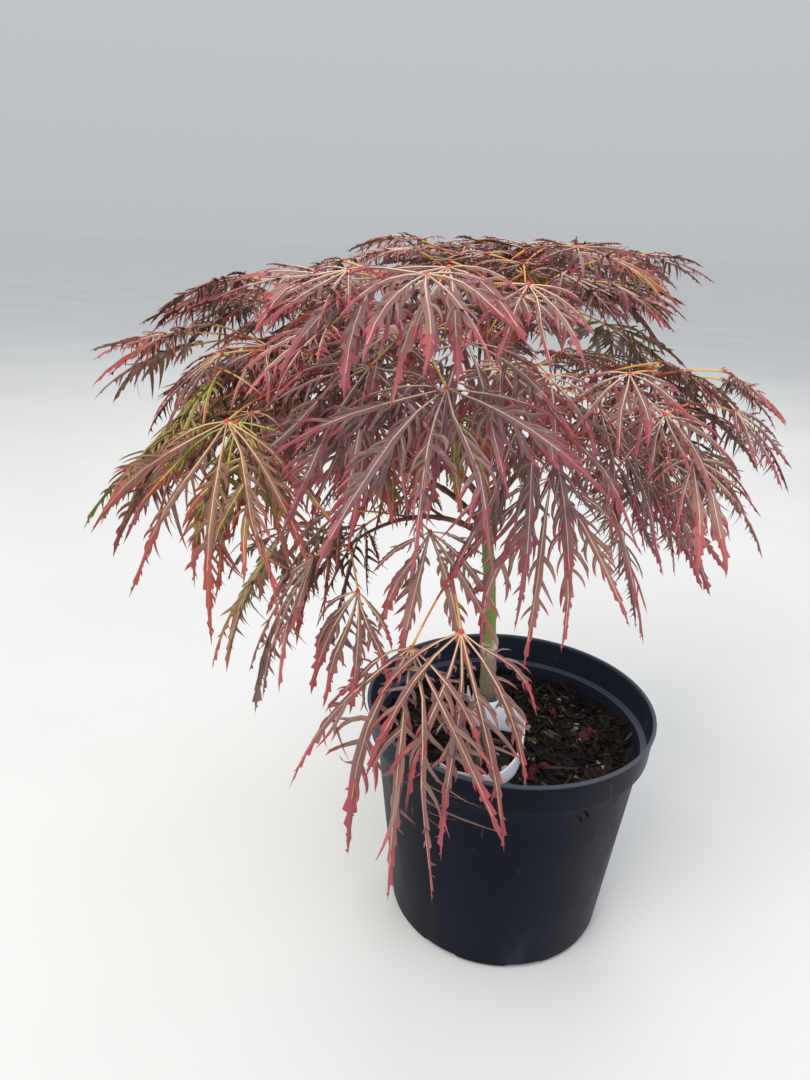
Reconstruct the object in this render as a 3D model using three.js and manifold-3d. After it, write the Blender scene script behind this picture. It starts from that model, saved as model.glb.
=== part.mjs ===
// A young laceleaf Japanese maple in a black plastic nursery pot, in millimetres, +Z up.
// The origin is the middle of the pot's flat underside. -Y is the front of the plant.
// A slim stem carries thin arching shoots that fork off its head and off each other.
// Each shoot is a bare bough and, from there on, a mass of foliage: its leafy end with pairs of
// leaves on long stalks, each leaf a hand of narrow toothed lobes that hang down.
import * as THREE from "three";
import { mergeVertices } from "three/addons/utils/BufferGeometryUtils.js";
import Module from "manifold-3d";

const wasm = await Module();
wasm.setup();

// Driving sizes

const CLEARANCE = 0.3; // between two pieces that meet
const UP = new THREE.Vector3(0, 0, 1);
const radians = THREE.MathUtils.degToRad;

const POT = {
  height: 159,
  rimRadius: 95,
  baseRadius: 72.8,
  wall: 1.3,
  floor: 2.4,
  collarDrop: 21.5, // from the rim down to the foot of the collar
  collarFootRadius: 92.6,
  shoulderRadius: 88.4, // of the wall just under the collar
  lip: 2.6, // height of the bead round the rim
  lipOut: 1.1, // how far the bead stands out of the collar
  footRound: 3,
  sides: 40,
};
const DRAIN = { count: 8, width: 25, height: 4.2, inner: 65.5 };

const SOIL = { top: 130, relief: 2.2, calmRadius: 21, reliefRadius: 36, rings: 5 };

const TRUNK = {
  foot: new THREE.Vector3(-21, -34, SOIL.top + CLEARANCE),
  graftHeight: 84, // above the soil
  headHeight: 196,
  lean: new THREE.Vector2(-12, 11), // how far the head stands off the foot
  bow: 4,
  footRadius: 7.6,
  flareHeight: 14,
  stockRadius: 4.7,
  graftRadius: 5.6,
  scionRadius: 4.1,
  headRadius: 3.4,
  sides: 10,
  rings: 18,
};

// The label's ribbon, from the stem outwards: along and across from the stem's middle, the height of its
// lower edge over the pot's rim, and how tall it stands.
const LABEL = {
  thick: 0.8,
  loopRadius: 8.5,
  strap: [3.5, 18],
  ribbon: [
    [1, -8.5, 3, 18],
    [12, -9.5, 2.5, 18],
    [20.5, -11, 1.5, 17],
    [21.5, -20, -1, 16],
    [18.5, -32, -4, 14],
    [13, -43, -7, 12],
    [3, -50, -9, 9.5],
    [-9, -49.5, -9, 8],
    [-21, -45, -8, 6],
    [-29, -39, -6, 4.5],
  ],
  tail: [
    [-3.8, 8.2, 12, 9],
    [-11.3, 10.4, 14, 8],
  ],
};

const BOUGH = { rootRadius: 2.1, endRadius: 1.35, bareShare: 0.52, rings: 5, sides: 6 };
const TWIG = { startRadius: 1.25, tipRadius: 0.75, firstPair: 0.66, rings: 5, sides: 4 };

// One row per shoot. In turn: its name, the share of the stem's height at which it starts, the compass
// direction it grows in (0 is +X, 90 is away from the front), how far out its tip is, how high it arches
// over its start, how far over its start its tip ends, its pairs of leaves, the length of a leaf's middle
// lobe, how far its leaves hang (0 spread flat, 1 straight down) and the seed of its small differences.
const SHOOTS = [
  ["front", 0.98, 241, 87, 91, 84, 3, 98, 0.35, 1020],
  ["left_front", 0.9, 213, 134, 81, 65, 2, 106, 0.55, 3600],
  ["left", 0.95, 175, 127, 88, 69, 2, 92, 0.14, 7253],
  ["left_mid", 0.86, 203, 138, 61, 56, 1, 104, 0.45, 6305],
  ["rear_left", 0.88, 143, 125, 86, 66, 2, 98, 0.25, 2617],
  ["rear", 0.99, 87, 95, 110, 85, 2, 84, 0.15, 3202],
  ["rear_right", 0.93, 68, 141, 115, 103, 3, 78, 0.2, 6523],
  ["top", 1, 35, 42, 92, 86, 2, 80, 0.25, 41],
  ["right", 0.85, -8, 99, 84, 62, 2, 80, 0.4, 3287],
  ["right_front", 0.97, 311, 52, 72, 34, 2, 108, 0.65, 4177],
  ["right_rear", 0.82, 34, 101, 52, 30, 1, 92, 0.5, 7505],
  ["low_front", 0.77, 255, 99, 22, 15, 1, 127, 1, 2861],
  ["low_left", 0.75, 220, 100, 32, 20, 2, 89, 0.75, 4315],
  ["low_left_rear", 0.78, 165, 116, 45, 14, 1, 98, 0.6, 2607],
  ["low_rear", 0.81, 90, 118, 56, 24, 2, 92, 0.55, 3478],
].map(([name, at, turn, reach, crest, tip, pairs, leaf, hang, seed]) => {
  return { name, at, turn, reach, crest, tip, pairs, leaf, hang, seed };
});

const LEAF = {
  shares: [1, 0.94, 0.78, 0.5], // of the middle lobe's length, from the middle outwards
  stalk: [22, 40],
  stalkRadius: 0.55,
  stalkSag: 0.16,
  heartRadius: 3.2,
  rimEnd: radians(112), // how far round the heart the blade's rim runs, to either side
  fold: 0.12, // how far a lobe's edges hang below its midrib, as a share of their reach
  steps: 10, // along a lobe's midrib
  halfThick: 0.6,
  // each of these from a leaf spread flat to one that hangs straight down
  rise: [0.36, -0.45], // of the stalk, to 1 along the shoot or across it
  spread: [34, 21].map((angle) => radians(angle)), // between neighbouring lobes
  tilt: [6, 74].map((angle) => radians(angle)), // the leaf's lean outwards
  lift: [0.3, 0.05], // of the lobes out of the leaf's plane where they start
  droop: [0.34, 0.78], // of the lobes towards their tips
};
// Half the width of a lobe as a share of its length: the blade widens to a tooth, is cut in, and again.
const LOBE_EDGE = [
  [0.26, 0.014],
  [0.46, 0.072],
  [0.52, 0.027],
  [0.72, 0.05],
];
const SMALL_LOBE_EDGE = [[0.55, 0.075]];

// A seeded run of numbers from 0 to 1, the same for the same seed.
function seeded(seed) {
  let state = seed >>> 0;
  return () => {
    state = (state + 0x6d2b79f5) >>> 0;
    let t = state;
    t = Math.imul(t ^ (t >>> 15), t | 1);
    t ^= t + Math.imul(t ^ (t >>> 7), t | 61);
    return ((t ^ (t >>> 14)) >>> 0) / 4294967296;
  };
}

const mix = (a, b, share) => a + (b - a) * share;
const clamp01 = (x) => Math.min(1, Math.max(0, x));
const smooth = (x) => clamp01(x) ** 2 * (3 - 2 * clamp01(x));
const flat = (v) => new THREE.Vector3(v.x, v.y, 0).normalize();

// Solids and geometry

function solidOf(geometry) {
  const bare = geometry.index ? geometry.toNonIndexed() : geometry.clone();
  bare.deleteAttribute("normal");
  bare.deleteAttribute("uv");
  const merged = mergeVertices(bare, 1e-4);
  return new wasm.Manifold(
    new wasm.Mesh({
      numProp: 3,
      vertProperties: new Float32Array(merged.attributes.position.array),
      triVerts: new Uint32Array(merged.index.array),
    }),
  );
}

function geometryOf(solid) {
  const mesh = solid.getMesh();
  const geometry = new THREE.BufferGeometry();
  geometry.setAttribute("position", new THREE.BufferAttribute(new Float32Array(mesh.vertProperties), 3));
  geometry.setIndex(new THREE.BufferAttribute(new Uint32Array(mesh.triVerts), 1));
  const faceted = geometry.toNonIndexed();
  faceted.computeVertexNormals();
  return faceted;
}

function indexed(points, triangles) {
  const geometry = new THREE.BufferGeometry();
  geometry.setAttribute("position", new THREE.Float32BufferAttribute(points.flatMap((p) => p.toArray()), 3));
  geometry.setIndex(triangles.flat());
  return geometry;
}

// The largest body of a fused mass, with any hollow that the fusing sealed filled and loose scraps dropped.
function oneBody(solid) {
  const bodies = solid.decompose().filter((b) => b.volume() > 0);
  return bodies.sort((a, b) => b.volume() - a.volume())[0];
}

// Closes a row of rings of as many points each into one skin, with a flat fan at both ends.
function skin(rings) {
  const count = rings[0].length;
  const last = (rings.length - 1) * count;
  const triangles = [];
  for (let i = 0; i < last; i += count)
    for (let s = 0; s < count; s++) {
      const a = i + s;
      const b = i + ((s + 1) % count);
      triangles.push([a, b, b + count], [a, b + count, a + count]);
    }
  for (let s = 1; s < count - 1; s++) triangles.push([0, s + 1, s], [last, last + s, last + s + 1]);
  return indexed(rings.flat(), triangles);
}

const wayAt = (points, i) =>
  points[Math.min(i + 1, points.length - 1)].clone().sub(points[Math.max(i - 1, 0)]).normalize();

// A round limb through the given points, with a radius at each and a flat cut at both ends.
function limb(points, radii, sides, start) {
  let across = new THREE.Vector3(1, 0, 0);
  const rings = points.map((p, i) => {
    const along = i === 0 && start ? start : wayAt(points, i);
    if (i === 0 && Math.abs(along.x) > 0.8) across.set(0, 1, 0);
    across = across.clone().addScaledVector(along, -across.dot(along)).normalize();
    const third = along.clone().cross(across);
    return Array.from({ length: sides }, (_, s) => {
      const turn = (2 * Math.PI * s) / sides;
      return p
        .clone()
        .addScaledVector(across, radii[i] * Math.cos(turn))
        .addScaledVector(third, radii[i] * Math.sin(turn));
    });
  });
  return skin(rings);
}

// Pot, soil and label

function potInnerRadius(height) {
  const ledge = POT.height - POT.collarDrop + POT.wall;
  return mix(POT.baseRadius, POT.shoulderRadius, height / ledge) - POT.wall;
}

function makePot() {
  const { height, rimRadius, baseRadius, wall, floor } = POT;
  const { lip, lipOut, footRound, collarFootRadius, shoulderRadius } = POT;
  const collarFoot = height - POT.collarDrop;
  const collarTop = rimRadius - lipOut;
  const profile = [
    [0, 0],
    [baseRadius - footRound, 0],
    [baseRadius - footRound * 0.3, footRound * 0.3],
    [baseRadius + 0.3, footRound],
    [shoulderRadius, collarFoot],
    [collarFootRadius, collarFoot],
    [collarTop, height - lip],
    [rimRadius, height - lip * 0.7],
    [rimRadius, height - lip * 0.2],
    [rimRadius - lip * 0.25, height],
    [collarTop - wall, height - lip * 0.3],
    [collarFootRadius - wall, collarFoot + wall],
    [shoulderRadius - wall, collarFoot + wall],
    [potInnerRadius(floor), floor],
    [0, floor],
  ];
  const geometry = new THREE.LatheGeometry(
    profile.map(([x, y]) => new THREE.Vector2(x, y)),
    POT.sides,
  );
  geometry.rotateX(Math.PI / 2);
  let pot = solidOf(geometry);
  for (let i = 0; i < DRAIN.count; i++) {
    const reach = POT.baseRadius - DRAIN.inner + 6;
    const cut = new THREE.BoxGeometry(reach, DRAIN.width, DRAIN.height * 2);
    cut.translate(DRAIN.inner + reach / 2, 0, 0);
    cut.rotateZ((2 * Math.PI * (i + 0.25)) / DRAIN.count);
    pot = pot.subtract(solidOf(cut));
  }
  return pot;
}

// The height of the soil's lumps at a place, calm round the stem's foot and at the pot's wall.
function soilLump(x, y) {
  const fromStem = Math.hypot(x - TRUNK.foot.x, y - TRUNK.foot.y);
  const fromMiddle = Math.hypot(x, y);
  const swell =
    Math.sin(x * 0.11 + 1.3) * Math.cos(y * 0.093 - 0.4) + 0.6 * Math.sin(x * 0.23 - y * 0.19) - 0.25;
  const calm = smooth((fromStem - SOIL.calmRadius) / (SOIL.reliefRadius - SOIL.calmRadius));
  return SOIL.relief * swell * calm * smooth((90 - fromMiddle) / 12);
}

function makeSoil() {
  const floor = POT.floor + CLEARANCE;
  const edge = potInnerRadius(SOIL.top) - CLEARANCE;
  const profile = [
    [0, floor],
    [potInnerRadius(floor) - CLEARANCE, floor],
    [edge, SOIL.top],
  ];
  for (let i = SOIL.rings - 1; i > 0; i--) profile.push([(edge * i) / SOIL.rings, SOIL.top]);
  profile.push([0, SOIL.top]);
  const geometry = new THREE.LatheGeometry(
    profile.map(([x, y]) => new THREE.Vector2(x, y)),
    POT.sides,
  );
  geometry.rotateX(Math.PI / 2);
  const position = geometry.attributes.position;
  for (let i = 0; i < position.count; i++) {
    const [x, y, z] = [position.getX(i), position.getY(i), position.getZ(i)];
    if (z > SOIL.top - 1 && Math.hypot(x, y) < edge - 1) position.setZ(i, z + soilLump(x, y));
  }
  return solidOf(geometry);
}

// A ribbon that stands on edge. Each row says where: along, across, lower edge, height.
function ribbonSolid(rows, centre, segments) {
  const plan = new THREE.CatmullRomCurve3(
    rows.map(([x, y, low]) => new THREE.Vector3(centre.x + x, centre.y + y, POT.height + low)),
    false,
    "centripetal",
  );
  const heights = new THREE.CatmullRomCurve3(
    rows.map(([, , , tall], i) => new THREE.Vector3(i, tall, 0)),
    false,
    "centripetal",
  );
  const points = Array.from({ length: segments + 1 }, (_, i) => plan.getPoint(i / segments));
  const rings = points.map((p, i) => {
    const side = wayAt(points, i).cross(UP).setZ(0).normalize().multiplyScalar(LABEL.thick / 2);
    const high = p.clone().addScaledVector(UP, heights.getPoint(i / segments).y);
    return [p.clone().add(side), p.clone().sub(side), high.clone().sub(side), high.clone().add(side)];
  });
  return solidOf(skin(rings));
}

// The blank loop label: a strap round the stem, its tail through the slot, and the broad ribbon
// that curls round to the front and drops inside the rim.
function makeLabel() {
  const [low, tall] = LABEL.strap;
  const share = (POT.height + low + tall - TRUNK.foot.z) / TRUNK.headHeight;
  const stem = trunkAxis(share);
  stem.y += trunkRadius(share) + CLEARANCE - (LABEL.loopRadius - LABEL.thick / 2);
  const [inner, outer] = [-0.5, 0.5].map((side) => LABEL.loopRadius + side * LABEL.thick);
  const strap = new THREE.LatheGeometry(
    [
      new THREE.Vector2(inner, low),
      new THREE.Vector2(outer, low),
      new THREE.Vector2(outer, low + tall),
      new THREE.Vector2(inner, low + tall),
      new THREE.Vector2(inner, low),
    ],
    20,
  );
  strap.rotateX(Math.PI / 2);
  strap.translate(stem.x, stem.y, POT.height);
  const ribbon = ribbonSolid(LABEL.ribbon, stem, 22);
  return oneBody(solidOf(strap).add(ribbon).add(ribbonSolid(LABEL.tail, stem, 2)));
}

// Trunk and boughs

function trunkAxis(share) {
  const { foot, lean, bow, headHeight } = TRUNK;
  const sway = bow * Math.sin(Math.PI * clamp01(share));
  return new THREE.Vector3(
    foot.x + lean.x * share ** 2 + sway * 0.8,
    foot.y + lean.y * share,
    foot.z + headHeight * share,
  );
}

function trunkRadius(share) {
  const height = share * TRUNK.headHeight;
  const flare = (TRUNK.footRadius - TRUNK.stockRadius) * (1 - smooth(height / TRUNK.flareHeight));
  const fromGraft = (height - TRUNK.graftHeight) / 5;
  const knuckle = (TRUNK.graftRadius - TRUNK.stockRadius) * Math.exp(-(fromGraft ** 2));
  const scion = mix(TRUNK.scionRadius, TRUNK.headRadius, smooth(share));
  return mix(TRUNK.stockRadius, scion, smooth((fromGraft + 1) / 2)) + flare + knuckle;
}

function makeTrunk(extra) {
  const shares = Array.from({ length: TRUNK.rings + 1 }, (_, i) => i / TRUNK.rings);
  return solidOf(
    limb(
      shares.map(trunkAxis),
      shares.map((s) => trunkRadius(s) + extra),
      TRUNK.sides,
      UP,
    ),
  );
}

function shootCurve(shoot) {
  const start = trunkAxis(shoot.at);
  const out = new THREE.Vector3(Math.cos(radians(shoot.turn)), Math.sin(radians(shoot.turn)), 0);
  const place = (share, height) =>
    start
      .clone()
      .addScaledVector(out, shoot.reach * share)
      .addScaledVector(UP, height);
  return new THREE.CubicBezierCurve3(
    start,
    place(0.16, shoot.crest * 0.62),
    place(0.62, shoot.crest * 1.18),
    place(1, shoot.tip),
  );
}

function makeBough(curve, extra) {
  const { rootRadius, endRadius, bareShare, rings, sides } = BOUGH;
  const shares = Array.from({ length: rings + 1 }, (_, i) => (i / rings) * bareShare);
  const points = shares.map((s) => curve.getPoint(s));
  const radii = shares.map((s) => mix(rootRadius, endRadius, s / bareShare) + extra);
  return solidOf(limb(points, radii, sides));
}

// Foliage

// The points along a lobe's midrib, with the direction of the blade's width at each.
function lobeLine(root, heading, normal, length, droop) {
  const line = [];
  const point = root.clone();
  const side = heading.clone().cross(normal).normalize();
  for (let i = 0; i <= LEAF.steps; i++) {
    const share = i / LEAF.steps;
    const bend = droop * share ** 1.1;
    const along = heading.clone().multiplyScalar(1 - bend).addScaledVector(UP, -bend).normalize();
    side.addScaledVector(along, -side.dot(along)).normalize();
    line.push({ point: point.clone(), along, side: side.clone(), top: side.clone().cross(along) });
    point.addScaledVector(along, length / LEAF.steps);
  }
  return line;
}

// A leaf's blade as one closed skin: a hand of lobes round the heart, each sharp at its edge and thickest
// along its midrib. Of the lobes only the kept ones are drawn out; between them the rim runs straight on.
function leafSolid(leaf, kept, extra) {
  const points = [];
  const triangles = [];
  const point = (p) => points.push(p) - 1;
  const { heart, normal, heading, spread, lobes } = leaf;
  const half = LEAF.halfThick + extra;
  const faces = [half, -half].map((over) => point(heart.clone().addScaledVector(normal, over)));
  const rimAt = (angle) => {
    const way = heading.clone().applyAxisAngle(normal, angle);
    return point(heart.clone().addScaledVector(way, LEAF.heartRadius + extra));
  };
  const gaps = [rimAt(Math.min(lobes[0].angle - spread * 0.7, -LEAF.rimEnd))];
  lobes.forEach((lobe, j) => {
    const next = lobes[j + 1];
    gaps.push(rimAt(next ? (lobe.angle + next.angle) / 2 : Math.max(lobe.angle + spread * 0.7, LEAF.rimEnd)));
  });
  const web = (spine, border, flip) => {
    let [a, b] = [0, 0];
    while (a < spine.length - 1 || b < border.length - 1) {
      const ridge = b === border.length - 1 || (a < spine.length - 1 && spine[a + 1][1] <= border[b + 1][1]);
      const third = ridge ? spine[a + 1][0] : border[b + 1][0];
      const face = [spine[a][0], border[b][0], third];
      if (new Set(face).size === 3) triangles.push(flip ? face.reverse() : face);
      if (ridge) a++;
      else b++;
    }
  };
  lobes.forEach((lobe, j) => {
    if (!kept.includes(j)) {
      triangles.push([faces[0], gaps[j], gaps[j + 1]], [faces[1], gaps[j + 1], gaps[j]]);
      return;
    }
    const tip = [point(lobe.line.at(-1).point.clone().addScaledVector(lobe.line.at(-1).along, extra)), 1];
    const ridges = [1, -1].map((sign) =>
      lobe.ridge.map((s) => [point(onLobe(lobe, s, 0, sign * half * mix(1, 0.6, s))), s]),
    );
    const borders = [1, -1].map((sign) =>
      lobe.edge.map(([s, width]) => {
        const across = width * lobe.length + extra;
        return [point(onLobe(lobe, s, sign * across, -across * LEAF.fold)), s];
      }),
    );
    borders.forEach((border, k) => {
      const rim = [[gaps[j + k], 0], ...border, tip];
      faces.forEach((face, f) => web([[face, 0], ...ridges[f], tip], rim, f !== k));
    });
  });
  for (const [f, face] of faces.entries()) {
    const back = [face, gaps.at(-1), gaps[0]];
    triangles.push(f ? back.reverse() : back);
  }
  return solidOf(indexed(points, triangles));
}

// A place on a lobe's blade: a share of the way along its midrib, and so far across and over it.
function onLobe(lobe, share, across, over) {
  const low = Math.min(LEAF.steps - 1, Math.floor(share * LEAF.steps));
  const here = lobe.line[low];
  return here.point
    .clone()
    .lerp(lobe.line[low + 1].point, share * LEAF.steps - low)
    .addScaledVector(here.side, across)
    .addScaledVector(here.top, over);
}

// Every leaf of a shoot: its stalk, the frame it lies in and its lobes.
function growLeaves(shoot) {
  const curve = shootCurve(shoot);
  const random = seeded(shoot.seed);
  const leaves = [];
  for (let k = 0; k < shoot.pairs; k++) {
    const share = shoot.pairs === 1 ? 1 : mix(TWIG.firstPair, 1, k / (shoot.pairs - 1));
    const node = curve.getPoint(share);
    const along = curve.getTangent(share);
    const level = along.clone().cross(UP).normalize();
    const roll = radians(mix(-45, 45, random()) + (k % 2 ? 30 : 0));
    for (const hand of [-1, 1]) {
      const across = level
        .clone()
        .multiplyScalar(Math.cos(roll))
        .addScaledVector(UP, Math.sin(roll) * hand)
        .multiplyScalar(hand);
      const hang = clamp01(shoot.hang - 0.12 + 0.24 * share + mix(-0.08, 0.08, random()));
      const [rise, tilt, lift, bend, spread] = ["rise", "tilt", "lift", "droop", "spread"].map((way) =>
        mix(LEAF[way][0], LEAF[way][1], hang),
      );
      const stalkWay = along
        .clone()
        .multiplyScalar(mix(0.2, 1, random()))
        .addScaledVector(across, 0.85)
        .addScaledVector(UP, rise)
        .normalize();
      const stalkLength = mix(LEAF.stalk[0], LEAF.stalk[1], random());
      const stalk = [0, 0.5, 1].map((s) =>
        node
          .clone()
          .addScaledVector(stalkWay, stalkLength * s)
          .addScaledVector(UP, -LEAF.stalkSag * stalkLength * s * s),
      );
      const heart = stalk[2];
      const outward = flat(heart.clone().sub(trunkAxis(1))).add(flat(stalkWay)).normalize();
      const swing = radians(mix(-32, 32, random()));
      const facing = outward.clone().applyAxisAngle(UP, swing);
      const normal = UP.clone().multiplyScalar(Math.cos(tilt)).addScaledVector(facing, Math.sin(tilt));
      const heading = facing.clone().multiplyScalar(Math.cos(tilt)).addScaledVector(UP, -Math.sin(tilt));
      const size = shoot.leaf * mix(0.76, 1.1, random());
      const droop = bend * mix(0.88, 1.14, random());
      const lobes = [];
      for (let j = -3; j <= 3; j++) {
        const angle = j * spread + radians(mix(-5, 5, random()));
        const length = size * LEAF.shares[Math.abs(j)] * mix(0.92, 1.06, random());
        const way = heading
          .clone()
          .applyAxisAngle(normal, angle)
          .addScaledVector(normal, lift)
          .normalize();
        const line = lobeLine(heart, way, normal, length, droop);
        const small = Math.abs(j) === 3;
        lobes.push({
          order: Math.abs(j),
          angle,
          length,
          line,
          edge: small ? SMALL_LOBE_EDGE : LOBE_EDGE,
          ridge: small ? [0.5] : [0.4, 0.7],
        });
      }
      leaves.push({ node, stalk, heart, normal, heading, spread, lobes });
    }
  }
  return { curve, leaves };
}

function makeTwig(curve, extra) {
  const { startRadius, tipRadius, rings, sides } = TWIG;
  const first = BOUGH.bareShare + (CLEARANCE + 0.1) / curve.getLength();
  const shares = Array.from({ length: rings + 1 }, (_, i) => mix(first, 1, i / rings));
  const points = shares.map((s) => curve.getPoint(s));
  const radii = shares.map((_, i) => mix(startRadius, tipRadius, i / rings) + extra);
  return solidOf(limb(points, radii, sides));
}

function makeStalk(stalk, extra) {
  const radii = stalk.map((_, i) => LEAF.stalkRadius * mix(1.25, 1, i / (stalk.length - 1)) + extra);
  return solidOf(limb(stalk, radii, 3));
}

// Keeps what has been placed, and tells whether a new piece of one owner would meet another's.
class Space {
  constructor() {
    this.placed = [];
  }
  add(owner, solid) {
    this.placed.push({ owner, solid, box: solid.boundingBox() });
  }
  isFree(owner, solid) {
    const box = solid.boundingBox();
    return !this.placed.some((other) => {
      if (other.owner === owner) return false;
      for (let k = 0; k < 3; k++)
        if (box.min[k] > other.box.max[k] || other.box.min[k] > box.max[k]) return false;
      return !solid.intersect(other.solid).isEmpty();
    });
  }
}

function makeFoliage(grown, space) {
  const masses = grown.map(() => []);
  grown.forEach(({ curve }, i) => {
    masses[i].push(makeTwig(curve, 0));
    space.add(i, makeTwig(curve, 0));
  });
  const stalked = [];
  grown.forEach(({ leaves }, i) =>
    leaves.forEach((leaf) => {
      if (!space.isFree(i, makeStalk(leaf.stalk, CLEARANCE).add(leafSolid(leaf, [], CLEARANCE)))) return;
      masses[i].push(makeStalk(leaf.stalk, 0));
      space.add(i, masses[i].at(-1));
      space.add(i, leafSolid(leaf, [], 0));
      leaf.kept = [];
      stalked.push([i, leaf]);
    }),
  );
  for (let order = 0; order <= 3; order++)
    for (const [i, leaf] of stalked)
      leaf.lobes.forEach((lobe, j) => {
        if (lobe.order !== order || !space.isFree(i, leafSolid(leaf, [j], CLEARANCE))) return;
        leaf.kept.push(j);
        space.add(i, leafSolid(leaf, [j], 0));
      });
  for (const [i, leaf] of stalked) masses[i].push(leafSolid(leaf, leaf.kept, 0));
  return masses.map((pieces) => oneBody(wasm.Manifold.union(pieces)));
}

// Materials and assembly

const finish = (color, roughness) => new THREE.MeshStandardMaterial({ color, roughness, metalness: 0 });
const FINISH = {
  pot: finish(0x1b1d24, 0.42),
  soil: finish(0x2c211b, 0.95),
  label: finish(0xe9ebf2, 0.4),
  trunk: finish(0x7c9440, 0.55),
  bough: finish(0x6e4038, 0.6),
  foliage: finish(0x87545a, 0.6),
};

const plant = new THREE.Group();

function place(name, solid, material) {
  const mesh = new THREE.Mesh(geometryOf(solid), material);
  mesh.name = name;
  plant.add(mesh);
  return solid;
}

const space = new Space();
const trunk = makeTrunk(0);
const grown = SHOOTS.map(growLeaves);
let taken = makeTrunk(CLEARANCE + 0.1);
const boughs = grown.map(({ curve }) => {
  const bough = oneBody(makeBough(curve, 0).subtract(taken));
  taken = taken.add(makeBough(curve, CLEARANCE));
  return bough;
});
const fixed = [
  place("pot", makePot(), FINISH.pot),
  place("potting_soil", makeSoil(), FINISH.soil),
  place("label", makeLabel(), FINISH.label),
  place("trunk", trunk, FINISH.trunk),
];
fixed.forEach((solid) => space.add("fixed", solid));
boughs.forEach((bough, i) => {
  place(`bough_${SHOOTS[i].name}`, bough, FINISH.bough);
  space.add(`bough ${i}`, bough);
});
makeFoliage(grown, space).forEach((mass, i) => place(`foliage_${SHOOTS[i].name}`, mass, FINISH.foliage));

export default plant;
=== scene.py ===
import math

import bmesh
import bpy
import numpy as np
from mathutils import Matrix, Quaternion, Vector, noise


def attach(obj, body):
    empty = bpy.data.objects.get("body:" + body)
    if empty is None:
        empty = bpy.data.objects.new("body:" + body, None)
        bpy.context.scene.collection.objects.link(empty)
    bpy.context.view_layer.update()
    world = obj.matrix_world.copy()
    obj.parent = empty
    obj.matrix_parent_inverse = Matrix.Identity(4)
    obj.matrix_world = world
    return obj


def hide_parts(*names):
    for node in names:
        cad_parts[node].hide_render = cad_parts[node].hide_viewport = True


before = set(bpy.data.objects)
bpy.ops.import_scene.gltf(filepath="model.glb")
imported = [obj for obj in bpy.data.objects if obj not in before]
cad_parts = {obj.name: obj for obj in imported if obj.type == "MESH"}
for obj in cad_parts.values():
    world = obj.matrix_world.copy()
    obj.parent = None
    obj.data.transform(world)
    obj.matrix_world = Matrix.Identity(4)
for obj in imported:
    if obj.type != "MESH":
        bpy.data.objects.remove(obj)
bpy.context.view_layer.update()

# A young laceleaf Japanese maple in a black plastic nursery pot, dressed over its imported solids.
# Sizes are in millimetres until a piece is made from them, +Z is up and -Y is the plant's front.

MM = 0.001
UP = Vector((0, 0, 1))
radians = math.radians

# ---- Driving sizes, the same as the solids' ----

POT = dict(height=159, rim=95, base=72.8, wall=1.3, floor=2.4, collar_drop=21.5, collar_foot=92.6,
           shoulder=88.4, lip=2.6, lip_out=1.1)
DRAIN = dict(count=8, width=25, height=4.2, inner=65.5)
CLEARANCE = 0.3
SOIL = dict(top=130, relief=2.2, calm=21, reach=36)
TRUNK = dict(foot=Vector((-21, -34, 130.3)), graft=84, head=196, lean=(-12, 11), bow=4, foot_radius=7.6,
             flare=14, stock=4.7, graft_radius=5.6, scion=4.1, head_radius=3.4)
LABEL = dict(
    thick=0.8, loop=8.5, strap=(3.5, 18),
    ribbon=[(1, -8.5, 3, 18), (12, -9.5, 2.5, 18), (20.5, -11, 1.5, 17), (21.5, -20, -1, 16),
            (18.5, -32, -4, 14), (13, -43, -7, 12), (3, -50, -9, 9.5), (-9, -49.5, -9, 8), (-21, -45, -8, 6),
            (-29, -39, -6, 4.5)],
    tail=[(-7.2, 4.6, 8.2, 2.2), (-9.4, 7, 10, 6.4), (-11.3, 10.4, 14, 8)], slot=(0.14, 0.46, 0.47, 0.56),
)
BOUGH = dict(root=2.1, end=1.35, bare=0.52, nodes=(0.3, 0.62, 0.93))
TWIG = dict(start=1.3, tip=0.75, first_pair=0.66)
# Each shoot: where on the trunk it starts, the way it turns in degrees, how far it reaches, how high it
# crests and ends, its pairs of leaves, how long they are and how much they hang, its seed and the tints of
# its leaves.
SHOOTS = [
    ("front", 0.98, 241, 87, 91, 84, 3, 98, 0.35, 1020, "rose mauve plum mauve dusk"),
    ("left_front", 0.9, 213, 134, 81, 65, 2, 106, 0.55, 3600, "russet bronze plum plum olive"),
    ("left", 0.95, 175, 127, 88, 69, 2, 92, 0.14, 7253, "mauve russet plum rose"),
    ("left_mid", 0.86, 203, 138, 61, 56, 1, 104, 0.45, 6305, "olive bronze olive russet"),
    ("rear_left", 0.88, 143, 125, 86, 66, 2, 98, 0.25, 2617, "mauve wine rose mauve"),
    ("rear", 0.99, 87, 95, 110, 85, 2, 84, 0.15, 3202, "mauve dusk wine rose"),
    ("rear_right", 0.93, 68, 141, 115, 103, 3, 78, 0.2, 6523, "mauve dusk mauve mauve rose"),
    ("top", 1, 35, 42, 92, 86, 2, 80, 0.25, 41, "mauve dusk rose bronze"),
    ("right", 0.85, -8, 99, 84, 62, 2, 80, 0.4, 3287, "dusk mauve rose mauve"),
    ("right_front", 0.97, 311, 52, 72, 34, 2, 108, 0.65, 4177, "mauve rose dusk rose"),
    ("right_rear", 0.82, 34, 101, 52, 30, 1, 92, 0.5, 7505, "dusk mauve mauve wine"),
    ("low_front", 0.77, 255, 99, 22, 15, 1, 127, 1, 2861, "plum plum wine"),
    ("low_left", 0.75, 220, 100, 32, 20, 2, 89, 0.75, 4315, "plum rose plum russet"),
    ("low_left_rear", 0.78, 165, 116, 45, 14, 1, 98, 0.6, 2607, "russet plum bronze"),
    ("low_rear", 0.81, 90, 118, 56, 24, 2, 92, 0.55, 3478, "wine plum russet"),
]
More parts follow.
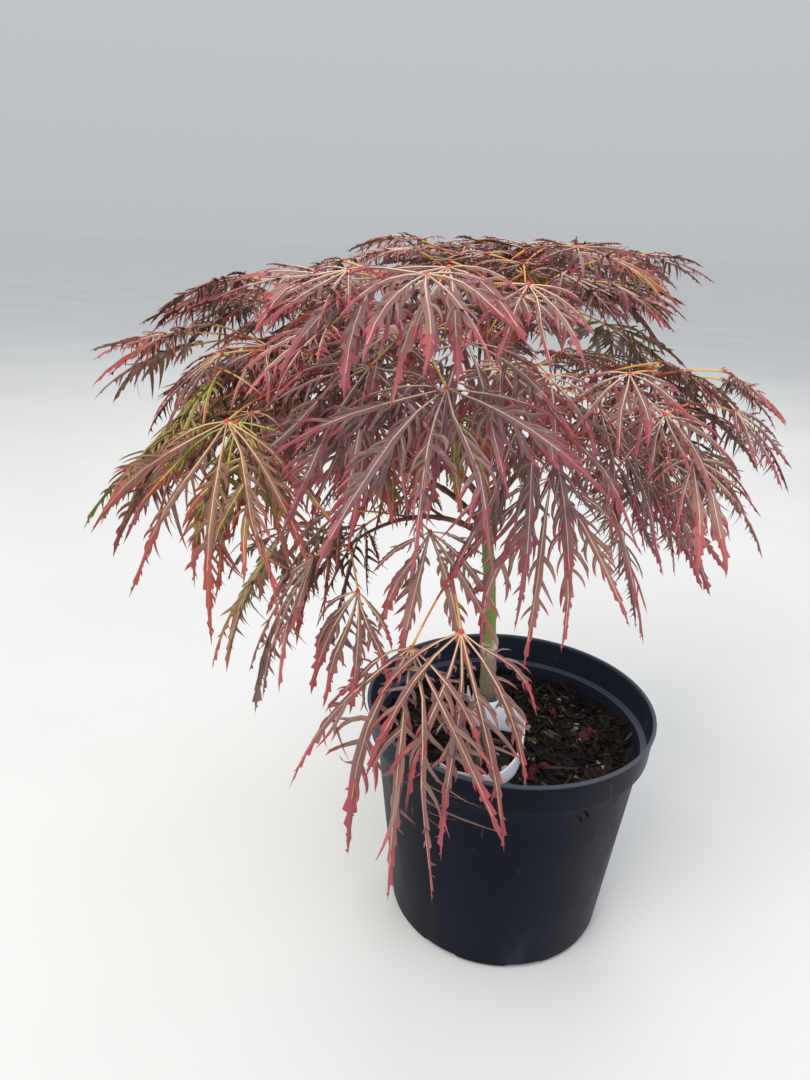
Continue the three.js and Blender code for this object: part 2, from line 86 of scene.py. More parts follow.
SHOOTS = [dict(zip("name at turn reach crest tip pairs leaf hang seed tints".split(), row)) for row in SHOOTS]
# How many rings and sides each kind of body is drawn with.
MESH = dict(trunk=(260, 36), bough=(64, 12), twig=(26, 8), fine_twig=(10, 6), stalk=(9, 6), pot=160,
            soil=(84, 220), loop=72, ribbon=90, tail=12)
SEED = dict(lobes=90210, chips=4401, fine_twigs=77, looks=5)  # the last two are added to a shoot's own
LEAF = dict(shares=(1, 0.94, 0.78, 0.5), stalk=(22, 40), stalk_radius=0.55, sag=0.16, steps=10,
            rise=(0.36, -0.45), spread=(radians(34), radians(21)), tilt=(radians(6), radians(74)),
            lift=(0.3, 0.05), droop=(0.34, 0.78))


class Seeded:
    """The same run of numbers from 0 to 1 as the solids use, so that each leaf sits where its solid is."""

    MASK = 0xFFFFFFFF

    def __init__(self, seed):
        self.state = seed & self.MASK

    def __call__(self, low=0.0, high=1.0):
        self.state = (self.state + 0x6D2B79F5) & self.MASK
        t = self.state
        t = ((t ^ (t >> 15)) * (t | 1)) & self.MASK
        t ^= (t + ((t ^ (t >> 7)) * (t | 61))) & self.MASK
        share = ((t ^ (t >> 14)) & self.MASK) / 4294967296
        return low + (high - low) * share


def mix(a, b, share):
    return a + (b - a) * share


def clamp01(x):
    return min(1.0, max(0.0, x))


def smooth(x):
    return clamp01(x) ** 2 * (3 - 2 * clamp01(x))


def bell(x, width):
    """1 where x is 0, and next to nothing twice the width away."""
    return np.exp(-((x / width) ** 2))


def flat(v):
    return Vector((v.x, v.y, 0)).normalized()


def unit(rows):
    return rows / np.linalg.norm(rows, axis=-1, keepdims=True)


# ---- Materials ----


def linear(colour):
    """A colour given as 0-255 per channel, as a shader's linear colour."""
    shares = [c / 255 for c in colour]
    return (*[s / 12.92 if s <= 0.04045 else ((s + 0.055) / 1.055) ** 2.4 for s in shares], 1)


def new_material(name):
    material = bpy.data.materials.new(name)
    material.use_nodes = True
    return material, Nodes(material.node_tree)


def plain(name, colour, roughness=0.5, specular=0.4):
    material, n = new_material(name)
    n.surface(colour, roughness, specular)
    return material


class Nodes:
    """Short ways to add and join the nodes of one tree."""

    def __init__(self, tree):
        self.tree = tree

    def feed(self, socket, value):
        """Gives a socket another node's output, or else a number, a vector or a colour."""
        if isinstance(value, bpy.types.NodeSocket):
            self.tree.links.new(value, socket)
        else:
            socket.default_value = linear(value) if socket.type == "RGBA" else value

    def add(self, kind, **values):
        """A new node. values feed the sockets of these names, with _ for a space, and otherwise set it up."""
        node = self.tree.nodes.new(kind)
        for key, value in values.items():
            socket = key.replace("_", " ")
            if socket in node.inputs:
                self.feed(node.inputs[socket], value)
            else:
                setattr(node, key, value)
        return node

    def stretched(self, scale):
        place = self.add("ShaderNodeTexCoord").outputs["Object"]
        return self.add("ShaderNodeMapping", Scale=scale, Vector=place).outputs["Vector"]

    def height(self):
        return self.add("ShaderNodeSeparateXYZ", Vector=self.stretched((1, 1, 1))).outputs["Z"]

    def noise(self, scale, detail=4.0, rough=0.55, stretch=(1, 1, 1), distort=0.0):
        return self.add("ShaderNodeTexNoise", Scale=scale, Detail=detail, Roughness=rough, Distortion=distort,
                        Vector=self.stretched(stretch)).outputs["Fac"]

    def ramp(self, value, *stops):
        node = self.add("ShaderNodeValToRGB", Fac=value)
        elements = node.color_ramp.elements
        while len(elements) < len(stops):
            elements.new(0.5)
        for element, (position, colour) in zip(elements, stops):
            element.position, element.color = position, linear(colour)
        return node.outputs["Color"]

    def map(self, value, low, high, to_low=0.0, to_high=1.0):
        return self.add("ShaderNodeMapRange", Value=value, From_Min=low, From_Max=high, To_Min=to_low,
                        To_Max=to_high).outputs["Result"]

    def maths(self, operation, *values, kind="ShaderNodeMath"):
        node = self.add(kind, operation=operation)
        for socket, value in zip(node.inputs, values):
            self.feed(socket, value)
        return node.outputs["Value"]

    def blend(self, share, a, b):
        node = self.add("ShaderNodeMix", data_type="RGBA", Factor=share)
        for socket, value in zip([s for s in node.inputs if s.type == "RGBA"], (a, b)):
            self.feed(socket, value)
        return next(s for s in node.outputs if s.type == "RGBA")

    def surface(self, colour, roughness, specular=0.5, bump=None, tint=(255, 255, 255)):
        """Finishes the material. bump is a height, the bump's strength and its distance in metres."""
        shader = self.tree.nodes["Principled BSDF"]
        values = {"Base Color": colour, "Roughness": roughness, "Specular IOR Level": specular,
                  "Specular Tint": tint}
        if bump:
            node = self.add("ShaderNodeBump", **dict(zip(("Height", "Strength", "Distance"), bump)))
            values["Normal"] = node.outputs["Normal"]
        for name, value in values.items():
            self.feed(shader.inputs[name], value)


# ---- Meshes ----


class Build:
    """Collects closed skins, each face with the number of its material, and makes one piece of them."""

    def __init__(self):
        self.skins = []
        self.count = 0

    def add(self, points, faces, zones=0):
        faces = np.asarray(faces, int) + self.count
        zones = np.broadcast_to(np.asarray(zones, int), len(faces))
        self.skins.append((np.asarray(points, float), faces, zones))
        self.count += len(points)

    def piece(self, name, materials, replaced=(), slot=None, sharp=None):
        points, faces, zones = (np.concatenate(kind) for kind in zip(*self.skins))
        used, numbers = np.unique(zones, return_inverse=True)
        mesh = bpy.data.meshes.new(name)
        mesh.vertices.add(len(points))
        mesh.vertices.foreach_set("co", (points * MM).ravel())
        mesh.loops.add(faces.size)
        mesh.loops.foreach_set("vertex_index", faces.ravel())
        mesh.polygons.add(len(faces))
        mesh.polygons.foreach_set("loop_start", np.arange(0, faces.size, 3))
        for number in used:
            mesh.materials.append(materials[number])
        mesh.polygons.foreach_set("material_index", numbers)
        mesh.polygons.foreach_set("use_smooth", np.ones(len(faces), bool))
        mesh.update(calc_edges=True)
        if sharp:
            mesh.set_sharp_from_angle(angle=radians(sharp))
        piece = bpy.data.objects.new(name, mesh)
        bpy.context.scene.collection.objects.link(piece)
        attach(piece, "root")
        if replaced:
            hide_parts(*replaced)
        return piece


def skin(rings, ends=(), turned=False):
    """A closed body through rings of points, all of as many. Its ends are drawn in to the two points given,
    or closed flat. turned says that the rings run the other way round."""
    rings = np.asarray(rings, float)
    sides = rings.shape[1]
    end = (len(rings) - 1) * sides
    a = np.arange(end)
    b = a - a % sides + (a + 1) % sides
    corners = [(a, b, b + sides), (a, b + sides, a + sides)]
    if len(ends):
        s = np.arange(sides)
        t = (s + 1) % sides
        corners += [(0 * s + end + sides, t, s), (0 * s + end + sides + 1, end + s, end + t)]
    else:
        s = np.arange(1, sides - 1)
        corners += [(0 * s, s + 1, s), (0 * s + end, end + s, end + s + 1)]
    faces = np.concatenate([np.stack(three, 1) for three in corners])
    points = np.concatenate([rings.reshape(-1, 3), np.reshape(ends, (-1, 3))])
    return points, faces[:, ::-1] if turned else faces


def circle(radius, height, count, start=0.0):
    """Points round the Z axis."""
    turns = np.arange(count) * 2 * np.pi / count + start
    return np.stack([radius * np.cos(turns), radius * np.sin(turns), np.full(count, float(height))], 1)


def tube(points, radii, sides, relief=None):
    """A closed round limb through the points. relief is added to the radius, one row of numbers a ring."""
    points = np.asarray(points, float)
    ways = unit(np.gradient(points, axis=0))
    across = np.array((1.0, 0, 0)) if abs(ways[0][0]) < 0.8 else np.array((0, 1.0, 0))
    turns = np.arange(sides) * 2 * np.pi / sides
    rings = []
    for i, way in enumerate(ways):
        across = unit(across - way * across.dot(way))
        radius = np.full(sides, float(radii[i])) + (0 if relief is None else relief[i])
        round_it = np.outer(np.cos(turns), across) + np.outer(np.sin(turns), np.cross(way, across))
        rings.append(points[i] + radius[:, None] * round_it)
    return skin(rings, points[[0, -1]])


def hermite(points, slopes, i, t, step=1.0):
    """The places on a smooth run through the points, at share t of the way on from point i."""
    return (points[i] * (2 * t**3 - 3 * t**2 + 1) + slopes[i] * step * (t**3 - 2 * t**2 + t)
            + points[i + 1] * (3 * t**2 - 2 * t**3) + slopes[i + 1] * step * (t**3 - t**2))


# ---- The growth rule, the same as the solids' ----


def trunk_axis(share):
    foot, lean = TRUNK["foot"], TRUNK["lean"]
    sway = TRUNK["bow"] * math.sin(math.pi * clamp01(share))
    return Vector(
        (foot.x + lean[0] * share**2 + sway * 0.8, foot.y + lean[1] * share, foot.z + TRUNK["head"] * share)
    )


GRAFT_REACH = 5  # how far up and down the graft swells the stem


def trunk_radius(share):
    height = share * TRUNK["head"]
    flare = (TRUNK["foot_radius"] - TRUNK["stock"]) * (1 - smooth(height / TRUNK["flare"]))
    knuckle = (TRUNK["graft_radius"] - TRUNK["stock"]) * bell(height - TRUNK["graft"], GRAFT_REACH)
    scion = mix(TRUNK["scion"], TRUNK["head_radius"], smooth(share))
    on_scion = smooth((height - TRUNK["graft"] + GRAFT_REACH) / (2 * GRAFT_REACH))
    return mix(TRUNK["stock"], scion, on_scion) + flare + knuckle


class Curve:
    """A cubic curve through the air, from the four points that steer it."""

    def __init__(self, *points):
        self.points = points

    def at(self, t):
        a, b, c, d = self.points
        return a * (1 - t) ** 3 + b * 3 * t * (1 - t) ** 2 + c * 3 * t**2 * (1 - t) + d * t**3

    def way(self, t):
        a, b, c, d = self.points
        return ((b - a) * (1 - t) ** 2 + (c - b) * 2 * t * (1 - t) + (d - c) * t**2).normalized()


def shoot_curve(shoot):
    start = trunk_axis(shoot["at"])
    turn = radians(shoot["turn"])
    out = Vector((math.cos(turn), math.sin(turn), 0)) * shoot["reach"]
    crest = UP * shoot["crest"]
    return Curve(
        start,
        start + out * 0.16 + crest * 0.62,
        start + out * 0.62 + crest * 1.18,
        start + out + UP * shoot["tip"],
    )


def lobe_line(root, heading, normal, length, droop):
    """The points along a lobe's midrib, with the ways of its width and of its upper face at each."""
    points, sides, tops = [], [], []
    point = root.copy()
    side = heading.cross(normal).normalized()
    for i in range(LEAF["steps"] + 1):
        bend = droop * (i / LEAF["steps"]) ** 1.1
        along = (heading * (1 - bend) - UP * bend).normalized()
        side = (side - along * side.dot(along)).normalized()
        points.append(point.copy())
        sides.append(side.copy())
        tops.append(side.cross(along))
        point += along * (length / LEAF["steps"])
    return np.array(points), np.array(sides), np.array(tops)


def grow_leaf(random, hang_middle, share, node, along, across, leaf_size):
    """One leaf: its stalk, its heart and its seven lobes. The order of the random numbers matters."""
    hang = clamp01(hang_middle - 0.12 + 0.24 * share + random(-0.08, 0.08))
    hung = [mix(*LEAF[k], hang) for k in ("rise", "tilt", "lift", "droop", "spread")]
    rise, tilt, lift, bend, spread = hung
    way = (along * random(0.2, 1) + across * 0.85 + UP * rise).normalized()
    length = random(*LEAF["stalk"])
    shares = np.linspace(0, 1, MESH["stalk"][0])
    stalk = [node + way * (length * s) - UP * (LEAF["sag"] * length * s * s) for s in shares]
    heart = stalk[-1]
    outward = (flat(heart - trunk_axis(1)) + flat(way)).normalized()
    facing = Quaternion(UP, radians(random(-32, 32))) @ outward
    normal = UP * math.cos(tilt) + facing * math.sin(tilt)
    heading = facing * math.cos(tilt) - UP * math.sin(tilt)
    size = leaf_size * random(0.76, 1.1)
    droop = bend * random(0.88, 1.14)
    lobes = []
    for j in range(-3, 4):
        angle = j * spread + radians(random(-5, 5))
        lobe_length = size * LEAF["shares"][abs(j)] * random(0.92, 1.06)
        aim = (Quaternion(normal, angle) @ heading + normal * lift).normalized()
        lobes.append((abs(j), lobe_length, lobe_line(heart, aim, normal, lobe_length, droop)))
    return dict(stalk=stalk, heart=heart, normal=normal, size=size, hang=hang, lobes=lobes)


def grow_leaves(shoot, curve):
    random = Seeded(shoot["seed"])
    leaves = []
    pairs = shoot["pairs"]
    for k in range(pairs):
        share = 1 if pairs == 1 else mix(TWIG["first_pair"], 1, k / (pairs - 1))
        node, along = curve.at(share), curve.way(share)
        level = along.cross(UP).normalized()
        roll = radians(random(-45, 45) + (30 if k % 2 else 0))
        for hand in (-1, 1):
            across = (level * math.cos(roll) + UP * (math.sin(roll) * hand)) * hand
            leaves.append(grow_leaf(random, shoot["hang"], share, node, along, across, shoot["leaf"]))
    return leaves


# The finer twigs: where along a shoot each forks off, to which hand, how long it is, how it rises, and how
# long the leaves at its end are as a share of the shoot's own.
FINE_TWIGS = [(0.42, 1, 27, 0.55, 0.62), (0.53, -1, 31, 0.45, 0.68), (0.64, 1, 33, 0.3, 0.72),
              (0.74, -1, 30, 0.4, 0.7), (0.84, 1, 28, 0.45, 0.64), (0.93, -1, 24, 0.5, 0.6)]
INNER_TWIGS = [(0.3, -1, 25, 0.5, 0.56), (0.24, 1, 20, 0.6, 0.5)]
OUTER_TWIGS = [(0.97, 1, 18, 0.25, 0.72), (0.72, 1, 34, 0.2, 0.66)]


def fine_twigs_of(shoot):
    """The finer twigs that a shoot has: all where it spreads, few where it hangs, none at the foot."""
    if shoot["name"] in ("low_front", "right_front"):
        return []
    if shoot["name"] == "front":
        return FINE_TWIGS[3:]
    if shoot["hang"] > 0.7:
        return FINE_TWIGS[:1]
    if shoot["hang"] > 0.5:
        return FINE_TWIGS[::3]
    if shoot["name"] in ("left", "right", "right_rear"):
        return FINE_TWIGS + OUTER_TWIGS
    return FINE_TWIGS + (INNER_TWIGS if shoot["hang"] < 0.4 else [])


def grow_fine_twigs(shoot, curve):
    """The finer twigs of a shoot, each with a pair of smaller leaves at its end."""
    random = Seeded(shoot["seed"] + SEED["fine_twigs"])
    flip = 1 if random() < 0.5 else -1
    twigs, leaves = [], []
    for share, hand, length, rise, leaf_share in fine_twigs_of(shoot):
        share += random(-0.04, 0.04)
        start, along = curve.at(share), curve.way(share)
        level = along.cross(UP).normalized() * hand * flip
        way = (along * random(0.25, 0.7) + level * 0.8 + UP * rise * random(0.5, 1.2)).normalized()
        reach = length * random(0.75, 1.2)
        bend = start + (along + way) * reach * 0.2
        twig = Curve(start, bend, start + way * reach * 0.7, start + way * reach)
        twigs.append(twig)
        for side in (-1, 1):
            across = way.cross(UP).normalized() * side
            size = shoot["leaf"] * leaf_share
            leaves.append(grow_leaf(random, shoot["hang"], share, twig.at(1), way, across, size))
    return twigs, leaves


# ---- A lobe of a leaf, drawn flat ----

# Where each pair of lobules leaves the midrib, how long it is and at what angle in degrees, all but the
# angle as shares of the lobe's length.
FINE_LOBULES = [
    (0.16, 0.06, 29), (0.215, 0.11, 28), (0.27, 0.16, 27), (0.325, 0.2, 25), (0.38, 0.22, 23),
    (0.435, 0.23, 22), (0.49, 0.22, 21), (0.545, 0.19, 21), (0.6, 0.155, 21), (0.655, 0.12, 20),
    (0.715, 0.085, 20), (0.78, 0.055, 19), (0.85, 0.038, 18), (0.92, 0.024, 17),
]
BROAD_LOBULES = [
    (0.19, 0.045, 30), (0.3, 0.17, 27), (0.41, 0.25, 23), (0.52, 0.21, 21), (0.62, 0.11, 20),
    (0.71, 0.055, 20), (0.79, 0.038, 20), (0.86, 0.03, 19), (0.93, 0.02, 18),
]
YOUNG_LOBULES = [
    (0.18, 0.08, 30), (0.255, 0.15, 28), (0.33, 0.21, 26), (0.41, 0.25, 24), (0.49, 0.24, 23),
    (0.57, 0.19, 22), (0.65, 0.13, 21), (0.73, 0.08, 21), (0.82, 0.048, 19), (0.9, 0.028, 18),
]
SHORT_LOBULES = [
    (0.25, 0.1, 30), (0.34, 0.17, 28), (0.44, 0.19, 26), (0.54, 0.16, 24), (0.64, 0.11, 23),
    (0.74, 0.065, 21), (0.84, 0.038, 19),
]
# Half the width of the lobe's own blade between its lobules.
BLADE_WIDTH = [(0, 0.006), (0.14, 0.009), (0.25, 0.016), (0.36, 0.025), (0.5, 0.029), (0.62, 0.024),
               (0.74, 0.018), (0.88, 0.012), (0.96, 0.007), (1, 0)]
LOBULE_WIDTH = [(0, 1.2), (0.3, 1.06), (0.6, 0.82), (0.85, 0.45), (1, 0)]
ZONE_CORE, ZONE_MARGIN, ZONE_UNDER = 0, 3, 5  # the first three and the next two run from base to tip
ZONES = 6
BLADE_ROWS, BLADE_FOLD = 12, 0.3
MAIN_RIB, LOBULE_RIB = (0.42, 0.2), (0.15, 0.08)  # half a rib's width at its root and near its tip
# How lobules vary: the two of a pair are set off by aside, and each slips along, is longer or shorter, turns
# by so many degrees, and tilts and curls out of the blade. toothed is the share of long ones with a tooth.
LOBULE = dict(aside=0.018, slip=(-0.022, 0.022), length=(0.52, 1.24), turn=(-11, 11), tilt=(-0.6, 0.45),
              curl=(-0.3, 1.15), toothed=0.4)


def zone_of(first, steps, reach):
    """The number of the zone that a place belongs to, from how near the lobe's tip it is."""
    if first == ZONE_UNDER:
        return ZONE_UNDER
    if first == ZONE_MARGIN:
        return ZONE_MARGIN + (reach > steps[1])
    return ZONE_CORE + (reach > steps[0]) + (reach > steps[1])


def ways_aside(path):
    """The way to the left of a flat path at each of its points."""
    ways = unit(np.gradient(path, axis=0))
    return np.stack([-ways[:, 1], ways[:, 0]], 1)


class LobeShape:
    """One lobe's blades as closed lens-shaped strips, in shares of the lobe's length along and across and
    over, with a last column that is a thickness in millimetres. Its ribs are kept apart."""

    def __init__(self, random, lobules, reach, breadth, ribbed):
        self.breadth = breadth
        self.points, self.faces, self.zones = [], [], []
        self.rib_points, self.rib_faces, self.rib_zones = [], [], []
        self.steps = (random(0.17, 0.26), random(0.6, 0.74))
        wave, drift = random(-0.025, 0.025), random(0.8, 1.4)
        self.bone = lambda u: wave * math.sin(math.pi * 2 * u * drift)
        along = [(j / BLADE_ROWS) ** 0.93 for j in range(BLADE_ROWS + 1)]
        path = np.array([(u, self.bone(u)) for u in along])
        widths = [np.interp(u, *zip(*BLADE_WIDTH)) * random(0.85, 1.15) * breadth for u in along]
        self.blade(random, path, widths)
        self.rib(path, [0] * len(path), range(0, BLADE_ROWS, 2), MAIN_RIB, 0)
        for base, length, angle in lobules:
            for hand in (-1, 1):
                start = base + hand * LOBULE["aside"] + random(*LOBULE["slip"])
                drawn = length * random(*LOBULE["length"]) * reach
                self.lobule(random, start, drawn, radians(angle + random(*LOBULE["turn"])), hand, ribbed)
        for name in ("points", "faces", "zones", "rib_points", "rib_faces", "rib_zones"):
            setattr(self, name, np.array(getattr(self, name)))

    def point(self, place, height, thick):
        self.points.append((*place, height, thick))
        return len(self.points) - 1

    def cover(self, zone, *faces, hand=-1):
        """Adds faces of one zone. Those on the left hand are given the other way round."""
        self.faces += [(x, y, z) if hand < 0 else (x, z, y) for x, y, z in faces]
        self.zones += [zone] * len(faces)

    def lobule(self, random, base, length, angle, hand, ribbed):
        """A side lobe, which leaves the midrib at a wide angle and bends forward like a sickle."""
        rows = 5 if length > 0.18 else 4 if length > 0.09 else 3 if length > 0.05 else 2

        def step(j, more=0.0):
            turn = angle * (1.8 - 1.6 * j / (rows - 1)) + more
            return np.array((math.cos(turn), hand * math.sin(turn))) * length

        path = [np.array((base, self.bone(base)))]
        for j in range(rows):
            path.append(path[-1] + step(j) / rows)
        widest = (0.0085 + 0.03 * length) * random(0.75, 1.25) * self.breadth
        tilt, curl = random(*LOBULE["tilt"]), random(*LOBULE["curl"])
        heights = [(tilt * s - curl * s**2) * length for s in np.linspace(0, 1, rows + 1)]
        self.sliver(np.array(path), heights, widest, 0.22)
        if ribbed and length > 0.15:
            self.rib(np.array(path), heights, (0, rows // 2, rows - 1), LOBULE_RIB, 0.1)
        if ribbed and rows == 5 and random() < LOBULE["toothed"]:
            j = 2 + int(random() * 2)
            out = step(j, radians(random(18, 36))) * random(0.1, 0.17)
            tooth = np.array([path[j], path[j] + out, path[j] + out * 1.8 + (out[0] * 0.5, 0)])
            self.sliver(tooth, [heights[j]] * 3, widest * 0.7, 0.2)

    def sliver(self, path, heights, widest, hurry):
        """A narrow closed blade of three-sided rows, with its ridge on top, and one point at its tip."""
        rows = len(path) - 1
        table = []
        for j, (p, s, h) in enumerate(zip(path[:-1], ways_aside(path), heights)):
            w = widest * np.interp(j / rows, *zip(*LOBULE_WIDTH))
            table.append([self.point(p + s * w, h - 0.35 * w, -0.05), self.point(p, h, 0.24),
                          self.point(p - s * w, h - 0.35 * w, -0.05)])
        tip = self.point(path[-1], heights[-1], 0)
        self.cover(ZONE_CORE, (table[0][0], table[0][2], table[0][1]))
        for j, (left, ridge, right) in enumerate(table):
            share = (j + 0.5) / rows
            top = zone_of(ZONE_CORE if share < 0.6 else ZONE_MARGIN, self.steps, path[j][0] + hurry * share)
            if j == rows - 1:
                self.cover(top, (ridge, tip, left), (ridge, right, tip))
                self.cover(ZONE_UNDER, (left, tip, right))
                continue
            left2, ridge2, right2 = table[j + 1]
            self.cover(top, (ridge, ridge2, left2), (ridge, left2, left), (ridge, right, right2),
                       (ridge, right2, ridge2))
            self.cover(ZONE_UNDER, (left, left2, right2), (left, right2, right))

    def blade(self, random, path, widths):
        """The lobe's own blade, with a margin of another colour and, towards its tip, small teeth."""
        aside = ways_aside(path)
        table = []
        for w, p, s in zip(widths, path[:-1], aside):
            rim = [self.point(p + s * w * a, -BLADE_FOLD * w * abs(a), over)
                   for a, over in ((1, 0), (0.7, 0.16), (0, 0.26), (-0.7, 0.16), (-1, 0))]
            table.append([*rim, self.point(p, 0, -0.2)])
        tip = self.point(path[-1], 0, 0)
        for j, row in enumerate(table):
            share = (j + 0.5) / BLADE_ROWS
            core, margin = (zone_of(z, self.steps, share) for z in (ZONE_CORE, ZONE_MARGIN))
            for edge, inner, hand in ((0, 1, 1), (4, 3, -1)):
                e, i, c, b = (row[k] for k in (edge, inner, 2, 5))
                if j == BLADE_ROWS - 1:
                    self.cover(core, (c, i, tip), hand=hand)
                    self.cover(margin, (i, e, tip), hand=hand)
                    self.cover(ZONE_UNDER, (e, b, tip), hand=hand)
                    continue
                e2, i2, c2, b2 = (table[j + 1][k] for k in (edge, inner, 2, 5))
                self.cover(core, (c, i, i2), (c, i2, c2), hand=hand)
                if share < 0.55 or random() < 0.35:
                    self.cover(margin, (i, e, e2), (i, e2, i2), hand=hand)
                    self.cover(ZONE_UNDER, (b, b2, e2), (b, e2, e), hand=hand)
                    continue
                out = max(widths[j], widths[j + 1]) * random(1.4, 2) * hand
                where = mix(path[j], path[j + 1], random(0.75, 1.05)) + mix(aside[j], aside[j + 1], 0.8) * out
                t = self.point(where, -BLADE_FOLD * abs(out), 0)
                self.cover(margin, (i, e, t), (i, t, i2), (i2, t, e2), hand=hand)
                self.cover(ZONE_UNDER, (b, b2, e2), (b, t, e), (b, e2, t), hand=hand)
        first = table[0]
        self.cover(ZONE_CORE, *((first[k], first[5], first[k + 1]) for k in range(4)))

    def rib(self, path, heights, picks, halves, hurry):
        """The raised rib on a blade: a closed three-sided bar through the picked points. halves is half its
        width in millimetres at its root and near its tip."""
        aside = ways_aside(path)
        tip = 3 * len(picks) + len(self.rib_points)
        for j in picks:
            half = mix(*halves, j / (len(path) - 1))
            for across, over in ((half, 0.2), (-half, 0.2), (0, 0.3 + half * 0.75)):
                self.rib_points.append((*path[j], heights[j], over, *(aside[j] * across)))
        self.rib_points.append((*mix(path[-2], path[-1], 0.8), heights[-1], 0.2, 0, 0))
        for k, j in enumerate(picks):
            place = path[j][0] + (hurry if k else 0)
            zone = int(place > self.steps[0] + 0.12) + int(place > self.steps[1])
            first = tip - 3 * (len(picks) - k)
            made = [] if k else [(first, first + 2, first + 1)]
            for a, b in ((first, first + 1), (first + 1, first + 2), (first + 2, first)):
                made += [(a, b, tip)] if j == picks[-1] else [(a, b, b + 3), (a, b + 3, a + 3)]
            self.rib_faces += made
            self.rib_zones += [zone] * len(made)


def sample(line, u):
    """The place, the width's way and the upper face's way at shares u of a lobe's line."""
    points, sides, tops = line
    s = np.clip(u, 0, 1) * LEAF["steps"]
    i = np.minimum(s.astype(int), LEAF["steps"] - 1)
    t = (s - i)[:, None]
    place = hermite(points, np.gradient(points, axis=0), i, t)
    return place, unit(mix(sides[i], sides[i + 1], t)), unit(mix(tops[i], tops[i + 1], t))


def on_lobe(line, length, flat_points, bend, twist):
    """Bends flat points of a lobe's shape on to its line in the air."""
    u, v, h, thick = flat_points.T[:4]
    v = v + bend * u**2
    turn = twist * u
    place, side, top = sample(line, u)
    across, over = v * length, h * length
    turned = across * np.cos(turn) - over * np.sin(turn), across * np.sin(turn) + over * np.cos(turn) + thick
    return place + side * turned[0][:, None] + top * turned[1][:, None]


def ribs_on_lobe(line, length, rib_points, bend, twist):
    middle = on_lobe(line, length, rib_points, bend, twist)
    _, side, _ = sample(line, rib_points.T[0])
    along = np.gradient(line[0], axis=0)
    step = np.clip((rib_points.T[0] * LEAF["steps"]).astype(int), 0, LEAF["steps"])
    return middle + unit(along[step]) * rib_points[:, 4:5] + side * rib_points[:, 5:6]


# ---- Colours of the leaves ----

# Per tint: the blade from its base to its tip, its margin, its underside, then the ribs from base to tip.
TINTS = {
    "rose": [(166, 132, 118), (155, 116, 104), (166, 92, 90), (164, 110, 100), (172, 80, 84), (150, 118, 106),
             (244, 216, 190), (236, 194, 174), (202, 118, 114)],
    "mauve": [(148, 117, 108), (136, 101, 95), (154, 84, 86), (149, 97, 92), (162, 72, 80), (136, 106, 98),
              (240, 210, 186), (228, 186, 170), (192, 108, 108)],
    "dusk": [(134, 106, 101), (120, 91, 89), (138, 78, 82), (132, 88, 86), (150, 66, 78), (122, 96, 92),
             (230, 200, 178), (214, 172, 160), (178, 100, 104)],
    "plum": [(133, 101, 92), (121, 88, 82), (146, 74, 76), (140, 86, 84), (162, 64, 74), (116, 90, 82),
             (236, 200, 158), (220, 164, 138), (186, 98, 96)],
    "wine": [(112, 82, 73), (98, 69, 62), (114, 60, 58), (108, 66, 60), (132, 52, 58), (103, 78, 70),
             (214, 172, 140), (180, 130, 112), (160, 84, 82)],
    "russet": [(144, 111, 90), (127, 91, 75), (144, 73, 64), (136, 88, 73), (160, 63, 60), (129, 101, 84),
               (232, 194, 146), (210, 160, 128), (182, 98, 86)],
    "bronze": [(154, 132, 90), (136, 110, 75), (152, 87, 66), (145, 101, 72), (164, 71, 62), (139, 120, 90),
               (232, 212, 130), (214, 184, 120), (188, 110, 86)],
    "olive": [(158, 154, 74), (134, 125, 60), (150, 101, 58), (145, 113, 59), (170, 77, 58), (137, 128, 83),
              (216, 216, 118), (202, 192, 102), (190, 122, 88)],
}
TINT_NAMES = list(TINTS)
leaf_materials, rib_materials = [], []
for tint, colours in TINTS.items():
    for place, colour in zip("base middle tip margin margin_tip under".split(), colours):
        leaf_materials.append(plain(f"leaf_{tint}_{place}", colour, 0.46, 0.45))
    for place, colour in zip(("base", "middle", "tip"), colours[ZONES:]):
        rib_materials.append(plain(f"rib_{tint}_{place}", colour, 0.42, 0.4))

# ---- Foliage ----

SLIM_UNDER = 82  # a leaf smaller than this has fuller lobes, cut less deep

# The shapes to draw a lobe from, by kind of leaf and by how far the lobe is from the leaf's middle.
shape_random = Seeded(SEED["lobes"])
SHAPES = {}
for kind, lobules, reach, breadth, ribbed, count in (("fine", FINE_LOBULES, 0.98, 0.72, True, 8),
                                                     ("broad", BROAD_LOBULES, 1, 0.78, True, 5),
                                                     ("young", YOUNG_LOBULES, 0.84, 1.12, False, 6),
                                                     ("slim", FINE_LOBULES, 0.66, 1.3, True, 5)):
    for order in range(4):
        drawn = SHORT_LOBULES if order == 3 else lobules
        SHAPES[kind, order] = [LobeShape(shape_random, drawn, reach, breadth, ribbed) for _ in range(count)]

# Groups of shoots, each joined into one piece a kind.
SPRAYS = {
    "front": ("front", "low_front", "right_front"),
    "left": ("left_front", "left", "left_mid"),
    "left_low": ("low_left", "low_left_rear"),
    "rear_left": ("rear_left", "low_rear"),
    "rear": ("rear", "top"),
    "rear_right": ("rear_right",),
    "right": ("right", "right_rear"),
}
STALK = [plain("stalk_red", (164, 66, 52), 0.42), plain("stalk_orange", (206, 128, 66), 0.4),
         plain("stalk_yellow", (222, 178, 92), 0.4), plain("heart_red", (206, 72, 60), 0.42)]
TWIG_BARK = [plain("twig_brown", (104, 56, 44), 0.5), plain("twig_red", (140, 62, 50), 0.45),
             plain("bud_red", (150, 44, 44), 0.4)]


